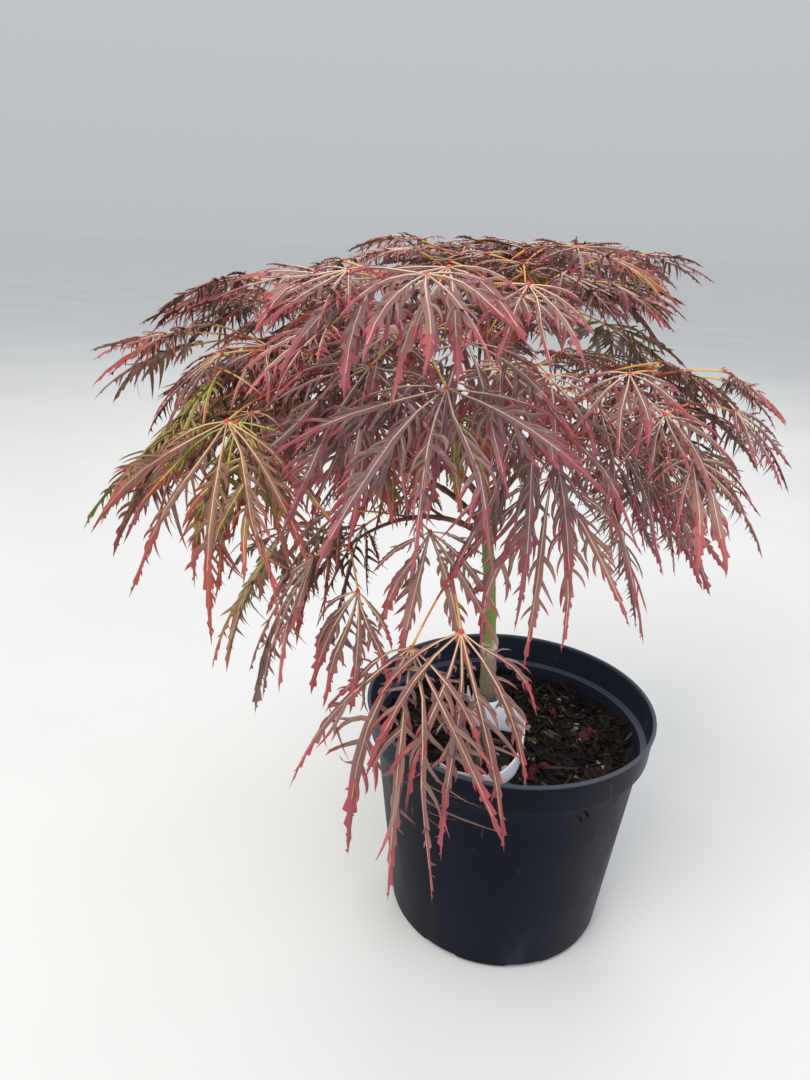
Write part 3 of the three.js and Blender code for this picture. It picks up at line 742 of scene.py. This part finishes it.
def add_knot(build, middle, radius, flat_way, zone):
    """A small lumpy ball: the heart of a leaf or a bud."""
    ball = bmesh.new()
    bmesh.ops.create_icosphere(ball, subdivisions=1, radius=radius)
    turn = Vector((0, 0, 1)).rotation_difference(flat_way).to_matrix() @ Matrix.Diagonal((1, 1, 0.6))
    points = np.array([turn @ v.co + middle for v in ball.verts])
    build.add(points, [[v.index for v in f.verts] for f in ball.faces], zone)
    ball.free()


def add_leaf(builds, leaf, random, tint, kind):
    blades, ribs, stalks = builds
    first = TINT_NAMES.index(tint)
    for order, length, line in leaf["lobes"]:
        shapes = SHAPES[kind, order]
        shape = shapes[int(random() * len(shapes))]
        bend, twist = random(-0.13, 0.13), random(-1.2, 1.2)
        points = on_lobe(line, length, shape.points, bend, twist)
        blades.add(points, shape.faces, shape.zones + first * ZONES)
        rib_points = ribs_on_lobe(line, length, shape.rib_points, bend, twist)
        ribs.add(rib_points, shape.rib_faces, shape.rib_zones + first * 3)
    stalk = leaf["stalk"]
    radii = [LEAF["stalk_radius"] * w for w in (1.7, 1.15, 1, 0.95, 0.95, 0.95, 0.95, 1, 1.25)]
    verts, faces = tube(stalk, radii, MESH["stalk"][1])
    middles = (verts[faces].mean(1) - np.array(stalk[0])) @ np.array((leaf["heart"] - stalk[0]).normalized())
    share = middles / (leaf["heart"] - stalk[0]).length
    low, high = random(0.1, 0.4), random(0.45, 0.75)
    stalks.add(verts, faces, np.where(share < low, 0, np.where(share < high, 1, 2)))
    add_knot(stalks, leaf["heart"] + leaf["normal"] * 0.3, 1.5, leaf["normal"], 3)


def make_foliage():
    shoots = {shoot["name"]: shoot for shoot in SHOOTS}
    stalks, twigs = Build(), Build()
    for spray, names in SPRAYS.items():
        blades, ribs = Build(), Build()
        for name in names:
            shoot, curve = shoots[name], shoot_curve(shoots[name])
            random = Seeded(shoot["seed"] + SEED["looks"])
            tints = shoot["tints"].split()
            for leaf in grow_leaves(shoot, curve):
                kind = "broad" if leaf["hang"] > 0.8 else "fine"
                if "low_left" in name or leaf["size"] < SLIM_UNDER:
                    kind = "slim"
                add_leaf((blades, ribs, stalks), leaf, random, tints[int(random() * len(tints))], kind)
            fine, small = grow_fine_twigs(shoot, curve)
            for leaf in small:
                tint = "wine" if random() < 0.25 else tints[int(random() * len(tints))]
                add_leaf((blades, ribs, stalks), leaf, random, tint, "young")
            add_twigs(twigs, shoot, curve, fine, random)
        nodes = [f"foliage_{name}" for name in names]
        blades.piece(f"leaf_blades_{spray}", leaf_materials, nodes, "foliage", sharp=50)
        ribs.piece(f"leaf_ribs_{spray}", rib_materials, nodes, "foliage")
    every = [f"foliage_{name}" for name in shoots]
    stalks.piece("leaf_stalks", STALK, every, "foliage")
    twigs.piece("fine_twigs", TWIG_BARK, every, "foliage")


def add_twigs(build, shoot, curve, fine, random):
    """The leafy end of a shoot, swollen at its nodes, with a bud at its tip, and its finer twigs."""
    rings, sides = MESH["twig"]
    shares = np.linspace(BOUGH["bare"] - 0.01, 1, rings)
    pairs = shoot["pairs"]
    nodes = [1.0] if pairs == 1 else [mix(TWIG["first_pair"], 1, k / (pairs - 1)) for k in range(pairs)]
    radii = [
        mix(TWIG["start"], TWIG["tip"], (s - BOUGH["bare"]) / (1 - BOUGH["bare"]))
        + 0.45 * sum(bell(s - n, 0.016) for n in nodes)
        for s in shares
    ]
    build.add(*tube([curve.at(s) for s in shares], radii, sides), int(random() < 0.6))
    for bud in (-1, 0, 1):
        way = (curve.way(1) + curve.way(1).cross(UP).normalized() * bud * 0.8).normalized()
        add_knot(build, curve.at(1) + way * 1.3, 0.95, way, 2)
    rings, sides = MESH["fine_twig"]
    shares = np.linspace(0, 1, rings)
    for twig in fine:
        radii = mix(1.0, 0.7, shares) + 0.35 * bell(shares - 1, 0.1)
        build.add(*tube([twig.at(t) for t in shares], radii, sides), int(random() < 0.75))


# ---- Trunk and boughs ----

# How high above the compost the scion's old buds have left their scars.
BUD_SCARS = (101, 119, 136, 152, 167, 181)


def bark_relief(points, sides, seed, stripes, lumps):
    """The rise and fall of the bark round a limb: fine upright stripes and scattered low lumps."""
    rows = []
    for p in points:
        row = []
        for s in range(sides):
            turn = 2 * math.pi * s / sides
            around = Vector((math.cos(turn), math.sin(turn), 0))
            fine = noise.noise(around * 4.2 + Vector((seed, 0, p[2] * 0.05)))
            low = noise.noise(around * 1.4 + Vector((0, seed, p[2] * 0.16)))
            row.append(stripes * fine + lumps * low)
        rows.append(row)
    return np.array(rows)


def make_trunk():
    rings, sides = MESH["trunk"]
    turns = np.arange(sides) * 2 * np.pi / sides
    shares = np.linspace(0, 1, rings)
    points = [trunk_axis(s) for s in shares]
    relief = bark_relief(points, sides, 3.7, 0.16, 0.28)
    for row, share in zip(relief, shares):
        height = share * TRUNK["head"]
        row *= 0.45 + 0.75 * (1 - smooth((height - TRUNK["graft"] + 4) / 8))  # rougher on the stock
        flare = 1 - smooth(height / (TRUNK["flare"] + 4))
        callus = bell(height - TRUNK["graft"] - 4.5 * np.cos(turns - 1.2), 1.9)  # it slants round the graft
        row += 1.1 * flare * np.cos(4 * turns + 0.7) + 0.75 * callus * (0.7 + 0.3 * np.sin(3 * turns))
        for number, scar in enumerate(BUD_SCARS):
            bud = np.cos(turns - number * np.pi / 2) ** 12 * bell(height - scar - 1, 1.8)
            row += 0.22 * bell(height - scar, 0.9) + 0.7 * bud
    build = Build()
    build.add(*tube(points, [trunk_radius(s) for s in shares], sides, relief))
    material, n = new_material("green_bark")
    wander = n.maths("MULTIPLY", n.maths("SUBTRACT", n.noise(140, stretch=(1, 1, 0.35)), 0.5), 0.022)
    foot = TRUNK["foot"].z * MM
    share = n.map(n.maths("ADD", n.height(), wander), foot, foot + TRUNK["head"] * MM)
    colour = n.ramp(share, (0.0, (70, 58, 46)), (0.12, (96, 84, 66)), (0.34, (122, 108, 84)),
                    (0.39, (150, 132, 112)), (0.43, (214, 198, 182)), (0.457, (122, 148, 58)),
                    (0.7, (108, 150, 44)), (0.93, (118, 130, 50)), (1.0, (134, 92, 56)))
    fine = n.noise(520, stretch=(1, 1, 0.22))
    colour = n.blend(n.map(fine, 0.48, 0.75, 0, 0.5), colour, (92, 112, 44))
    specks = n.noise(900, detail=2.0)
    colour = n.blend(n.map(specks, 0.62, 0.7, 0, 0.6), colour, (198, 190, 140))
    pores = n.noise(1500, stretch=(1, 1, 0.4))
    n.surface(colour, n.map(fine, 0.3, 0.7, 0.42, 0.62), bump=(pores, 0.5, 0.0004))
    build.piece("trunk_bark", [material], ["trunk"], "green_bark")


def make_boughs():
    build = Build()
    rings, sides = MESH["bough"]
    for shoot in SHOOTS:
        curve = shoot_curve(shoot)
        points = [curve.at(s) for s in np.linspace(0, BOUGH["bare"], rings)]
        radii = []
        for along in np.linspace(0, 1, rings):
            knuckles = sum(bell(along - place, 0.03) for place in BOUGH["nodes"])
            radii.append(mix(BOUGH["root"], BOUGH["end"], along) + 0.38 * knuckles + 1.1 * bell(along, 0.07))
        build.add(*tube(points, radii, sides, bark_relief(points, sides, shoot["seed"] % 97, 0.05, 0.12)))
    material, n = new_material("shoot_bark")
    colour = n.ramp(n.noise(60, detail=3.0), (0.3, (78, 44, 36)), (0.5, (112, 60, 44)), (0.66, (124, 92, 52)),
                    (0.8, (112, 112, 54)))
    fine = n.noise(800)
    colour = n.blend(n.map(fine, 0.5, 0.75, 0, 0.55), colour, (150, 104, 84))
    n.surface(colour, n.map(fine, 0.3, 0.7, 0.4, 0.6), bump=(fine, 0.4, 0.0003))
    build.piece("bough_bark", [material], [f"bough_{shoot['name']}" for shoot in SHOOTS], "shoot_bark")


# ---- Pot ----


def rounded(profile, radius, steps=3):
    """The profile with each inner corner cut round."""
    made = [profile[0]]
    for before, corner, after in zip(profile, profile[1:], profile[2:]):
        a, c, b = (np.array(p, float) for p in (before, corner, after))
        long_a, long_b = np.linalg.norm(a - c), np.linalg.norm(b - c)
        reach = min(radius, long_a * 0.45, long_b * 0.45)
        start, end = c + (a - c) / long_a * reach, c + (b - c) / long_b * reach
        for t in np.linspace(0, 1, steps + 1):
            made.append(tuple(start * (1 - t) ** 2 + c * 2 * t * (1 - t) + end * t**2))
    return [*made, profile[-1]]


def pot_inner(height):
    ledge = POT["height"] - POT["collar_drop"] + POT["wall"]
    return mix(POT["base"], POT["shoulder"], height / ledge) - POT["wall"]


def make_pot():
    top, wall = POT["height"], POT["wall"]
    foot = top - POT["collar_drop"]
    collar_top = POT["rim"] - POT["lip_out"]
    profile = [(0, 0), (POT["base"] - 2.4, 0), (POT["base"] + 0.3, 3)]
    # The first ring is just above the drain notches, so that they don't spoil the shading of the wall.
    for share in (0.022, *np.arange(1, 7) / 6):
        profile.append((mix(POT["base"] + 0.3, POT["shoulder"], share), mix(3, foot, share)))
    profile += [(POT["collar_foot"], foot), (collar_top, top - POT["lip"]),
                (POT["rim"], top - POT["lip"] * 0.7), (POT["rim"], top - 0.1), (collar_top - wall, top - 0.1),
                (POT["collar_foot"] - wall, foot + wall), (POT["shoulder"] - wall, foot + wall)]
    profile += [(pot_inner(h), h) for h in (100, 60, 20, POT["floor"])] + [(0, POT["floor"])]
    profile = rounded(profile, 1.1)
    build = Build()
    rings = [circle(radius, height, MESH["pot"]) for radius, height in profile]
    build.add(*skin(rings[1:-1], (rings[0][0], rings[-1][0])))

    material, n = new_material("pot_plastic")
    broad = n.noise(9, detail=5.0, rough=0.6)
    colour = n.ramp(broad, (0.3, (4, 5, 16)), (0.55, (6, 8, 21)), (0.75, (11, 13, 27)))
    height, aside = n.height(), n.stretched((1, 1, 0))
    # Painted light: the inner wall, which faces the middle, is painted a paler navy to stand in for light
    # falling inside the pot.
    facing = n.add("ShaderNodeNewGeometry").outputs["Normal"]
    inward_painted_light = n.maths("DOT_PRODUCT", facing, aside, kind="ShaderNodeVectorMath")
    colour = n.blend(n.map(inward_painted_light, 0.0, -0.03), colour, (47, 50, 64))
    # A painted highlight: the upward face of the ledge inside the collar is painted pale. Only what is nearer
    # the middle than the collar's wall is meant.
    within = n.map(n.maths("LENGTH", aside, kind="ShaderNodeVectorMath"), 0.0922, 0.092)
    ledge = n.map(n.maths("ABSOLUTE", n.maths("SUBTRACT", height, (foot + wall) * MM)), 0.0008, 0.0004)
    colour = n.blend(n.maths("MULTIPLY", ledge, within), colour, (92, 98, 112))
    # A painted highlight: the top 2.6 mm of the rim is painted lighter.
    edge = n.map(height, (top - 2.6) * MM, (top - 0.4) * MM)
    colour = n.blend(n.maths("MULTIPLY", edge, 0.75), colour, (98, 102, 112))
    dust = n.noise(26, detail=8.0, rough=0.7, stretch=(1, 1, 0.6))
    low = n.map(height, 0.0, 0.05, 0.36, 0.0)
    dusty = n.maths("MULTIPLY", n.map(dust, 0.5, 0.78), n.maths("ADD", low, 0.03))
    colour = n.blend(dusty, colour, (92, 92, 96))
    scuffs = n.noise(150, detail=2.0, stretch=(1, 1, 0.25), distort=0.6)
    colour = n.blend(n.map(scuffs, 0.7, 0.76, 0, 0.3), colour, (112, 114, 122))
    n.surface(colour, n.map(dust, 0.3, 0.75, 0.34, 0.58), 0.14, (n.noise(700, detail=3.0), 0.12, 0.0003),
              (196, 212, 255))
    pot = build.piece("pot_shell", [material], ["pot"], "pot_plastic", sharp=40)

    cutters = Build()
    for i in range(DRAIN["count"]):
        cutters.add(*notch_cutter(2 * math.pi * (i + 0.25) / DRAIN["count"]))
    cutter = cutters.piece("drain_cutter", [material])
    cut = pot.modifiers.new("drain", "BOOLEAN")
    cut.operation, cut.solver, cut.object = "DIFFERENCE", "EXACT", cutter
    graph = bpy.context.evaluated_depsgraph_get()
    mesh = bpy.data.meshes.new_from_object(pot.evaluated_get(graph))
    pot.modifiers.clear()
    pot.data = mesh
    bpy.data.objects.remove(cutter)


def notch_cutter(turn):
    """A drain notch's cutter: a bar with a rounded top, lying across the pot's foot."""
    half, top, round_off = DRAIN["width"] / 2, DRAIN["height"], 1.6
    outline = [(-half, -4), (half, -4), (half, top - round_off)]
    outline += [(half - round_off * (1 - math.cos(a)), top - round_off + round_off * math.sin(a))
                for a in (0.5, 1.05, math.pi / 2)]
    outline += [(-x, z) for x, z in outline[:1:-1]]
    c, s = math.cos(turn), math.sin(turn)
    reaches = (DRAIN["inner"], POT["base"] + 6)
    return skin([[(c * r - s * x, s * r + c * x, z) for x, z in outline] for r in reaches])


# ---- Potting mix ----


def soil_lump(x, y):
    foot = TRUNK["foot"]
    from_stem = math.hypot(x - foot.x, y - foot.y)
    swell = math.sin(x * 0.11 + 1.3) * math.cos(y * 0.093 - 0.4) + 0.6 * math.sin(x * 0.23 - y * 0.19) - 0.25
    calm = smooth((from_stem - SOIL["calm"]) / (SOIL["reach"] - SOIL["calm"]))
    return SOIL["relief"] * swell * calm * smooth((90 - math.hypot(x, y)) / 12)


def soil_height(x, y):
    foot = TRUNK["foot"]
    grain = noise.fractal(Vector((x, y, 0)) * 0.16, 0.8, 2.2, 5) * 1.7
    near_stem = smooth((math.hypot(x - foot.x, y - foot.y) - 8) / 8)
    return SOIL["top"] + soil_lump(x, y) + grain * near_stem


CHIP = [plain("chip_dark", (17, 13, 12), 0.85, 0.25), plain("chip_brown", (30, 23, 20), 0.8, 0.25),
        plain("chip_red_brown", (47, 32, 26), 0.8, 0.25), plain("chip_tan", (92, 75, 62), 0.8, 0.25),
        plain("chip_pale", (178, 162, 144), 0.75, 0.3), plain("fallen_red", (98, 18, 34), 0.55, 0.35),
        plain("fallen_wine", (92, 22, 32), 0.6, 0.35), plain("moss_green", (84, 96, 38), 0.9, 0.2)]

CHIP_COUNT = 1500
# A chip's section, in shares of its width and its thickness.
SLAB = ((-0.5, -0.5), (0.5, -0.5), (0.5, 0.5), (-0.5, 0.5))
# Where the shed scraps of leaf lie and how long each is.
FALLEN = [(14, -40, 9), (20, -36, 8), (10, -47, 7), (52, -5, 8), (57, 0, 7), (-50, 20, 8), (5, 45, 8),
          (35, 25, 6), (-20, -66, 7)]


def add_chip(build, middle, size, zone, random):
    """One splinter of bark: a bent, tapering slab with chipped ends."""
    long, wide, thick = size
    bend = random(-0.25, 0.25) * long
    rings = []
    for share in np.linspace(0, 1, 5):
        width = wide * (0.45 + 0.75 * math.sin(math.pi * (0.15 + 0.7 * share))) * random(0.75, 1.15)
        arch = bend * (share - 0.5) ** 2
        rings.append([(long * (share - 0.5 + random(-0.06, 0.06)), y * width + arch,
                       z * thick * random(0.6, 1.2) + arch * 0.4) for y, z in SLAB])
    turn = Matrix.Rotation(random(0, 2 * math.pi), 3, "Z") @ Matrix.Rotation(random(-0.5, 0.5), 3, "Y")
    turn = turn @ Matrix.Rotation(random(-0.6, 0.6), 3, "X")
    points, faces = skin(rings)
    build.add([turn @ Vector(p) + middle for p in points], faces, zone)


def make_soil():
    edge = pot_inner(SOIL["top"]) - CLEARANCE
    floor = POT["floor"] + CLEARANCE
    count, sides = MESH["soil"]
    rings = [circle(edge * (i + 1) / count, 0, sides) for i in range(count)]
    for ring in rings:
        ring[:, 2] = [soil_height(x, y) for x, y, _ in ring]
    rings.append(circle(pot_inner(floor) - CLEARANCE, floor, sides))
    build = Build()
    build.add(*skin(rings, [(0, 0, soil_height(0, 0)), (0, 0, floor)], turned=True))
    material, n = new_material("potting_mix")
    grain = n.noise(420, detail=6.0, rough=0.7)
    colour = n.ramp(grain, (0.3, (9, 7, 7)), (0.5, (18, 14, 13)), (0.64, (34, 27, 23)), (0.8, (70, 57, 48)))
    n.surface(colour, 0.9, bump=(grain, 0.8, 0.0012))
    build.piece("potting_mix", [material], ["potting_soil"], "soil")

    chips = Build()
    random = Seeded(SEED["chips"])
    foot = TRUNK["foot"]
    made = 0
    while made < CHIP_COUNT:
        x, y = random(-edge, edge), random(-edge, edge)
        if math.hypot(x, y) > edge - 5 or math.hypot(x - foot.x, y - foot.y) < 9.5:
            continue
        pick = random()
        if pick < 0.66:
            size, zone = (random(7, 22), random(0.9, 2.8), random(0.6, 1.5)), int(random(0, 3.3))
        elif pick < 0.94:
            size, zone = (random(3, 9), random(2, 4.5), random(0.8, 1.8)), int(random(0, 3.1))
        elif pick < 0.965:
            size, zone = (random(3, 6), random(2, 4), random(1, 2)), 4
        else:
            size, zone = (random(3, 6), random(1.5, 3), random(0.4, 0.9)), 7 if random() < 0.4 else 3
        middle = Vector((x, y, soil_height(x, y) + size[2] * random(0.1, 1.1)))
        add_chip(chips, middle, size, zone, random)
        made += 1
    for x, y, reach in FALLEN:
        add_fallen_leaf(chips, x, y, reach, random)
    chips.piece("bark_chips", CHIP, (), "soil", sharp=35)


def add_fallen_leaf(build, x, y, reach, random):
    """A crumpled scrap of a fallen leaf."""
    middle = Vector((x, y, soil_height(x, y) + 2.2))
    for _ in range(3):
        turn = Quaternion(UP, random(0, 2 * math.pi)) @ Quaternion((1, 0, 0), random(-0.7, 0.7))
        length, width = reach * random(0.7, 1.2), reach * random(0.22, 0.4)
        rings = []
        for share in np.linspace(0, 1, 6):
            half = width * math.sin(math.pi * min(0.97, 0.12 + 0.86 * share)) * random(0.7, 1.2)
            lift = reach * 0.25 * math.sin(share * 3 + random(-0.3, 0.3))
            rings.append([(length * (share - 0.4), side, lift + over + abs(side) * 0.35)
                          for side, over in ((-half, 0.2), (0, 0.55), (half, 0.2), (0, -0.1))])
        points, faces = skin(rings, turned=True)
        build.add([turn @ Vector(p) + middle for p in points], faces, 5 if random() < 0.55 else 6)


# ---- Label ----


def centripetal(points, count):
    """A smooth run through the given points."""
    points = np.asarray(points, float)
    gaps = np.linalg.norm(np.diff(points, axis=0), axis=1) ** 0.5
    knots = np.concatenate([[0], np.cumsum(gaps)])
    at = np.linspace(0, knots[-1], count)
    i = np.clip(np.searchsorted(knots, at) - 1, 0, len(points) - 2)
    h = (knots[i + 1] - knots[i])[:, None]
    return hermite(points, np.gradient(points, knots, axis=0), i, (at - knots[i])[:, None] / h, h)


def ribbon(points, heights, thick, closed=False, hole=None):
    """A band that stands on edge, with rounded edges. hole leaves out a slot: its two ends as shares of the
    band's length and its two heights as shares of the band's own."""
    count = len(points)
    ways = np.roll(points, -1, 0) - np.roll(points, 1, 0) if closed else np.gradient(points, axis=0)
    sides = unit(np.stack([ways[:, 1], -ways[:, 0], np.zeros(count)], 1)) * thick / 2
    levels = [0, 0.02, 0.2, 0.4, 0.5, 0.6, 0.8, 0.98, 1]
    if hole:
        levels = sorted({0, 0.02, 0.25, hole[2], (hole[2] + hole[3]) / 2, hole[3], 0.8, 0.98, 1})
    thins = [0.45 if level in (0, 1) else 1 for level in levels]
    verts = [points[i] + np.array((0, 0, heights[i] * level)) + sides[i] * thin * hand
             for i in range(count) for level, thin in zip(levels, thins) for hand in (-1, 1)]
    cells = {(i, k) for i in range(count if closed else count - 1) for k in range(len(levels) - 1)
             if not (hole and hole[0] <= i / count < hole[1] and hole[2] <= levels[k] < hole[3])}
    faces = []
    for i, k in sorted(cells):
        j = (i + 1) % count
        corners = ((i, k), (j, k), (j, k + 1), (i, k + 1))
        back, front = ([(x * len(levels) + y) * 2 + face for x, y in corners] for face in (0, 1))
        quads = [front, back[::-1]]
        for a, cell in enumerate(((i, k - 1), (j, k), (i, k + 1), ((i - 1) % count, k))):
            b = (a + 1) % 4
            if cell not in cells:
                quads.append((front[b], front[a], back[a], back[b]))
        for a, b, c, d in quads:
            faces += [(a, b, c), (a, c, d)]
    return np.array(verts), np.array(faces)


def make_label():
    low, tall = LABEL["strap"]
    rim = POT["height"]
    share = (rim + low + tall - TRUNK["foot"].z) / TRUNK["head"]
    stem = trunk_axis(share)
    stem.y += trunk_radius(share) + CLEARANCE - (LABEL["loop"] - LABEL["thick"] / 2)
    middle = np.array((stem.x, stem.y, rim))
    build = Build()
    thick = LABEL["thick"]
    ring = circle(LABEL["loop"], low, MESH["loop"], math.pi / 2) + middle
    build.add(*ribbon(ring, np.full(len(ring), tall), thick, closed=True, hole=LABEL["slot"]))
    for name, share in (("ribbon", 1), ("tail", 0.8)):
        run = centripetal(LABEL[name], MESH[name])
        build.add(*ribbon(run[:, :3] + middle, run[:, 3], thick * share))
    material, n = new_material("label_plastic")
    broad = n.noise(60, detail=5.0)
    colour = n.ramp(broad, (0.35, (236, 240, 250)), (0.6, (247, 249, 254)), (0.8, (224, 229, 240)))
    dirt = n.noise(240, detail=6.0, rough=0.7)
    colour = n.blend(n.map(dirt, 0.64, 0.82, 0, 0.4), colour, (150, 142, 130))
    n.surface(colour, n.map(broad, 0.3, 0.7, 0.32, 0.5), bump=(n.noise(300, detail=2.0), 0.1, 0.0004))
    build.piece("plant_label", [material], ["label"], "label_plastic", sharp=50)


# ---- Stage ----


# Looks along +Y, turned down and rolled by so many degrees. It was fitted to the rim and the foot of the pot.
CAMERA = dict(place=Vector((-74.1, -473.2, 441.8)), down=20.16, roll=2.30, lens=27.03, clip=(0.01, 60))


def make_camera():
    down, roll = radians(CAMERA["down"]), radians(CAMERA["roll"])
    forward = Vector((0, math.cos(down), -math.sin(down)))
    right = Vector((1, 0, 0))
    up = right.cross(forward)
    level, rise = right * math.cos(roll) + up * math.sin(roll), up * math.cos(roll) - right * math.sin(roll)
    camera = bpy.data.objects.new("camera", bpy.data.cameras.new("camera"))
    camera.matrix_world = Matrix((level, rise, -forward)).transposed().to_4x4()
    camera.location = CAMERA["place"] * MM
    camera.data.lens = CAMERA["lens"]
    camera.data.clip_start, camera.data.clip_end = CAMERA["clip"]
    bpy.context.scene.collection.objects.link(camera)
    bpy.context.scene.camera = camera


# Each lamp's name, its place in metres, how high it aims, its size, its watts and its colour.
LAMPS = [("key", (-1.1, -1.3, 2.1), 0.3, 1.4, 44, (255, 250, 242)),
         ("fill", (1.8, -1.0, 1.2), 0.3, 1.6, 13, (236, 242, 255)),
         ("back", (0.3, 1.8, 1.9), 0.35, 1.4, 13, (255, 252, 246))]


def make_stage():
    scene = bpy.context.scene
    mesh = bpy.data.meshes.new("floor")
    mesh.from_pydata(circle(90, 0, 64).tolist(), [], [list(range(64))])
    floor = bpy.data.objects.new("floor", mesh)
    material, n = new_material("floor")
    n.surface(n.ramp(n.noise(3, detail=2.0), (0.3, (226, 226, 224)), (0.7, (232, 232, 230))), 0.9, 0.1)
    mesh.materials.append(material)
    scene.collection.objects.link(floor)

    scene.view_settings.view_transform = "Standard"
    scene.world = world = bpy.data.worlds.new("studio")
    world.use_nodes = True
    n = Nodes(world.node_tree)
    way = n.add("ShaderNodeTexCoord").outputs["Generated"]
    rise = n.add("ShaderNodeSeparateXYZ", Vector=way).outputs["Z"]
    colour = n.ramp(rise, (0, (186, 189, 193)), (1, (214, 218, 224)))
    n.feed(n.tree.nodes["Background"].inputs["Color"], colour)

    for name, place, aim, size, watts, colour in LAMPS:
        light = bpy.data.lights.new(name, "AREA")
        light.shape, light.size, light.energy, light.color = "SQUARE", size, watts, linear(colour)[:3]
        item = bpy.data.objects.new(name, light)
        item.location = place
        item.rotation_mode = "QUATERNION"
        item.rotation_quaternion = (Vector((0, 0, aim)) - Vector(place)).to_track_quat("-Z", "Y")
        scene.collection.objects.link(item)


make_camera()
make_stage()
make_pot()
make_soil()
make_label()
make_trunk()
make_boughs()
make_foliage()
